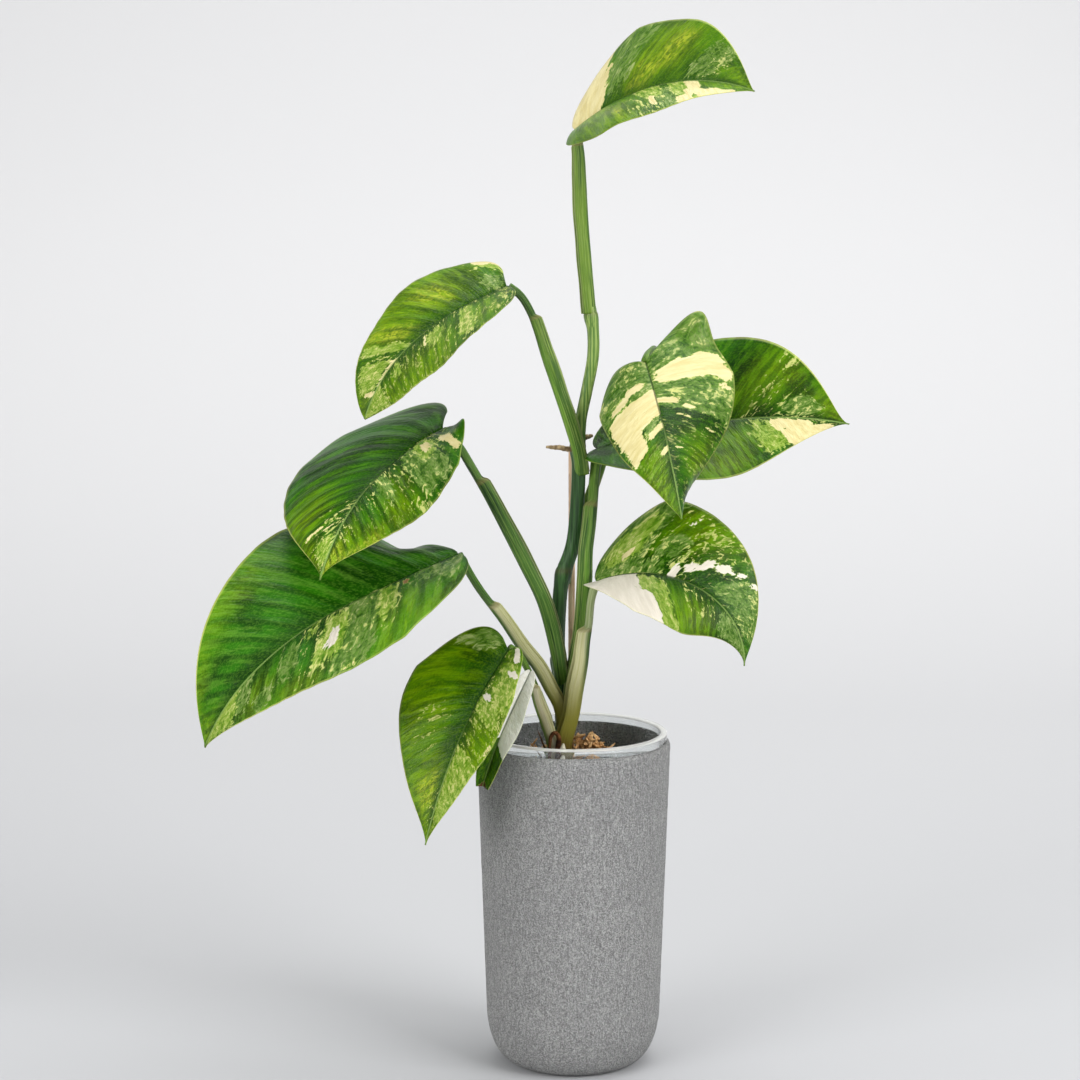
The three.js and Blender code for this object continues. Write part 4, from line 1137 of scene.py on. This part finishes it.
def random_chip(random, sizes):
    """A ragged closed lump with pinched ends, slightly bent and turned at random"""
    length, width, thick = (random.uniform(*span) for span in sizes)
    rings = []
    for i in range(CHIP_ROWS + 1):
        along = i / CHIP_ROWS
        fat = math.sin(math.pi * (0.12 + 0.76 * along)) ** 0.6
        angle = whole_turn(CHIP_SIDES) + random.uniform(-0.3, 0.3)
        rough = random.uniform(0.55, 1.25, CHIP_SIDES) * fat
        height = (along - 0.5) * length + random.uniform(-0.4, 0.4, CHIP_SIDES)
        rings.append(np.stack([width / 2 * np.cos(angle) * rough, thick / 2 * np.sin(angle) * rough,
                               height], -1))
    points = np.vstack(rings)
    points[:, 0] += random.uniform(-0.12, 0.12) * points[:, 2] ** 2 / length * 2
    count = len(points)
    faces = grid_faces(CHIP_ROWS + 1, CHIP_SIDES, closed=True)
    faces += [tuple(range(CHIP_SIDES))[::-1], tuple(range(count - CHIP_SIDES, count))]
    axes, _ = np.linalg.qr(random.normal(size=(3, 3)))
    return points @ axes.T, faces


def place_loose(name, parts, dark, light, depth):
    """One piece of the mix from many loose parts, each with its points and faces"""
    points, faces, total = [], [], 0
    for part, part_faces in parts:
        points.append(part)
        faces += [tuple(index + total for index in face) for face in part_faces]
        total += len(part)
    material = mix_material(name, dark, light, depth)
    place_piece(make_piece(name, np.vstack(points), faces, material), "potting_mix")


def scattered(random, inset):
    """A random place on the mix, away from its edge"""
    reach = (mix_radius(MIX_LEVEL) - inset) * math.sqrt(random.uniform(0, 1))
    turn = random.uniform(0, 2 * math.pi)
    return reach * math.cos(turn), reach * math.sin(turn)


def build_bark(random):
    parts = []
    for _ in range(BARK_CHIPS):
        x, y = scattered(random, 4)
        chip, faces = random_chip(random, BARK_SIZES)
        height = float(mix_height(x, y)) + random.uniform(-0.6, 1.4)
        parts.append((chip * (1, 1, 0.7) + (x, y, height), faces))
    place_loose("mix_bark", parts, *BARK_TONES, 0.0006)


# Heaps of tan husk flakes round the stems: x, y, top height, spread, count
HUSK_HEAPS = (
    (3, 5, 171, 3.5, 28), (8, 4, 174.5, 3.4, 40), (12, 5, 172, 3.4, 28), (18, 4, 169.5, 2.8, 16),
    (-20, 0, 171, 3.2, 28), (-16, 2, 170, 3, 20), (-26, -4, 162, 4, 10), (24, -8, 158, 5, 12),
    (2, -18, 160, 6, 14), (-10, -22, 158, 6, 12),
)


def build_husk(random):
    parts = []
    for x, y, top, spread, count in HUSK_HEAPS:
        for _ in range(count):
            px = x + random.normal() * spread * 0.5
            py = y + random.normal() * spread * 0.6
            base = float(mix_height(px, py))
            near = math.exp(-((px - x) ** 2 + (py - y) ** 2) / spread ** 2)
            height = base + (top - base) * near * random.uniform(0.1, 0.95)
            chip, faces = random_chip(random, HUSK_SIZES)
            parts.append((chip + (px, py, height), faces))
    place_loose("mix_husk", parts, *HUSK_TONES, 0.0005)


def build_fibres(random):
    """Thin curved rootlets and coir hairs on the mix"""
    parts = []
    for _ in range(FIBRES):
        x, y = scattered(random, 6)
        start = np.array([x, y, float(mix_height(x, y)) + 0.5])
        heading = random.normal(size=3) * (1, 1, 0.5)
        heading /= np.linalg.norm(heading)
        length = random.uniform(4, 11)
        bend = random.normal(size=3) * length * 0.25
        path = [start, start + heading * length / 2 + bend, start + heading * length]
        thick = random.uniform(0.12, 0.3)
        points, faces = rod(path, (0.13, 0.2, 1), 9, 4, lambda angle, t, height: thick * (1 - 0.6 * t))
        if np.hypot(points[:, 0], points[:, 1]).max() < mix_radius(MIX_LEVEL):
            parts.append((points, faces))
    place_loose("mix_fibres", parts, *FIBRE_TONES, 0.0002)


LITTER_FLUTES = ((0.1, 2, 11),)
# Bits that stand out at the foot of the stems: points, widest radius, tones
LITTER = (
    ("curled_root", [(-9.6, -16, 160), (-8, -16.8, 168.5), (-7.8, -17.4, 173.5), (-9.6, -17.6, 175.8),
                     (-11.5, -17.2, 174), (-12.3, -16.6, 168), (-12.6, -15.5, 158)], 1.4,
     ((58, 32, 16), (128, 84, 48))),
    ("twig", [(-12, -4, 158), (-16, -3.5, 168), (-18.5, -3, 174.5)], 0.8, ((60, 40, 28), (120, 88, 62))),
    ("pale_tip", [(-6.6, -18, 154), (-6, -19, 163), (-5.4, -19.6, 170.6)], 3.4,
     ((206, 198, 170), (238, 232, 212))),
    ("loose_root", [(-2, -10, 156), (0.5, -13, 162), (1, -16, 163), (-1, -19, 157)], 0.8,
     ((70, 48, 30), (150, 116, 78))),
)


def build_litter():
    for name, points, thick, tones in LITTER:
        def radius(angle, t, height):
            return thick * (1 - 0.85 * t ** 2) * (1 + flutes(angle, t, LITTER_FLUTES))

        place_loose(name, [rod(points, (0.2, 1, 0.1), 40, 12, radius)], *tones, 0.0003)


def mix_material(name, dark, light, depth):
    """Two tones in patches, with dark crumbs"""
    shader = Shader(name, roughness=0.9, specular=0.2)
    patches = shader.noise(shader.position(), scale=260, detail=4)
    crumbs = shader.noise(shader.position(), scale=1100, detail=3)
    shader.colour = shader.blend(patches, dark, light)
    shader.paint(crumbs * 0.4, dark)
    return shader.finish(patches + crumbs, depth)


# Stage, lights and camera, in metres

STAGE_HALF_WIDTH = 4.0
STAGE_FRONT = -3.5
STAGE_BEND_START = 0.9
STAGE_BEND = 1.6
STAGE_BEND_STEPS = 32
STAGE_TOP = 4.0
# Each light's place, what it faces, its size and its power
LIGHTS = dict(
    softbox_right=((1.5, -1.2, 1.2), (0, 0, 0.25), (1.2, 1.2), 34),
    softbox_left=((-1.6, -1.5, 0.9), (0, 0, 0.25), (1.2, 1.2), 27),
    softbox_top=((0.2, 0.3, 2.0), (0, 0.2, 0.2), (1.8, 1.6), 26),
)
WORLD_LIGHT = 0.44
# The paper's tones: the darker is painted shade on the floor, the lighter its own colour up the backdrop
PAPER_TONES = ((186, 187, 189), (232, 232, 233))
CAMERA_PLACE = (-0.0172, -1.359, 0.4605)
CAMERA_TILT = 82.1
CAMERA_LENS = 90
SENSOR_WIDTH = 36


def build_stage():
    """A pale floor that bends up into the backdrop"""
    line = [(STAGE_FRONT, 0.0), (STAGE_BEND_START, 0.0)]
    for k in range(1, STAGE_BEND_STEPS + 1):
        angle = k / STAGE_BEND_STEPS * math.pi / 2
        line.append((STAGE_BEND_START + STAGE_BEND * math.sin(angle), STAGE_BEND * (1 - math.cos(angle))))
    line.append((STAGE_BEND_START + STAGE_BEND, STAGE_TOP))
    points = [(x / MM, y / MM, z / MM) for y, z in line for x in (-STAGE_HALF_WIDTH, STAGE_HALF_WIDTH)]
    faces = [(2 * k, 2 * k + 1, 2 * k + 3, 2 * k + 2) for k in range(len(line) - 1)]
    make_piece("backdrop", points, faces, paper_material())


def paper_material():
    """Plain pale paper, a little darker on the floor towards the front: painted shade"""
    shader = Shader("studio_paper", roughness=0.9, specular=0.1)
    _, y, z = shader.split(shader.position())
    shader.set("Base Color", shader.blend((y + z).step(-0.2, 2.4), *PAPER_TONES))
    return shader.material


def build_lights():
    for name, (place, target, size, power) in LIGHTS.items():
        light = bpy.data.lights.new(name, "AREA")
        light.shape = "RECTANGLE"
        light.size, light.size_y = size
        light.energy = power
        lamp = add_object(name, light)
        lamp.location = place
        lamp.rotation_euler = (Vector(target) - Vector(place)).to_track_quat("-Z", "Y").to_euler()
    world = bpy.data.worlds.new("studio")
    world.use_nodes = True
    background = world.node_tree.nodes["Background"]
    background.inputs["Color"].default_value = (1, 1, 1, 1)
    background.inputs["Strength"].default_value = WORLD_LIGHT
    bpy.context.scene.world = world
    bpy.context.scene.view_settings.view_transform = "Standard"


def build_camera():
    camera = bpy.data.cameras.new("camera")
    camera.lens = CAMERA_LENS
    camera.sensor_width = SENSOR_WIDTH
    holder = add_object("camera", camera)
    holder.location = CAMERA_PLACE
    holder.rotation_euler = (math.radians(CAMERA_TILT), 0, 0)
    bpy.context.scene.camera = holder


def build_plant():
    for seed, leaf in enumerate(LEAVES, 1):
        build_blade(leaf, seed)
        build_stalk(leaf, seed)
    build_stem()
    build_stake()
    build_roots()


def build_mix():
    random = np.random.default_rng(CHIP_SEED)
    build_bed()
    build_bark(random)
    build_husk(random)
    build_fibres(random)
    build_litter()


build_camera()
build_stage()
build_lights()
build_plant()
build_pot()
build_cup()
build_mix()
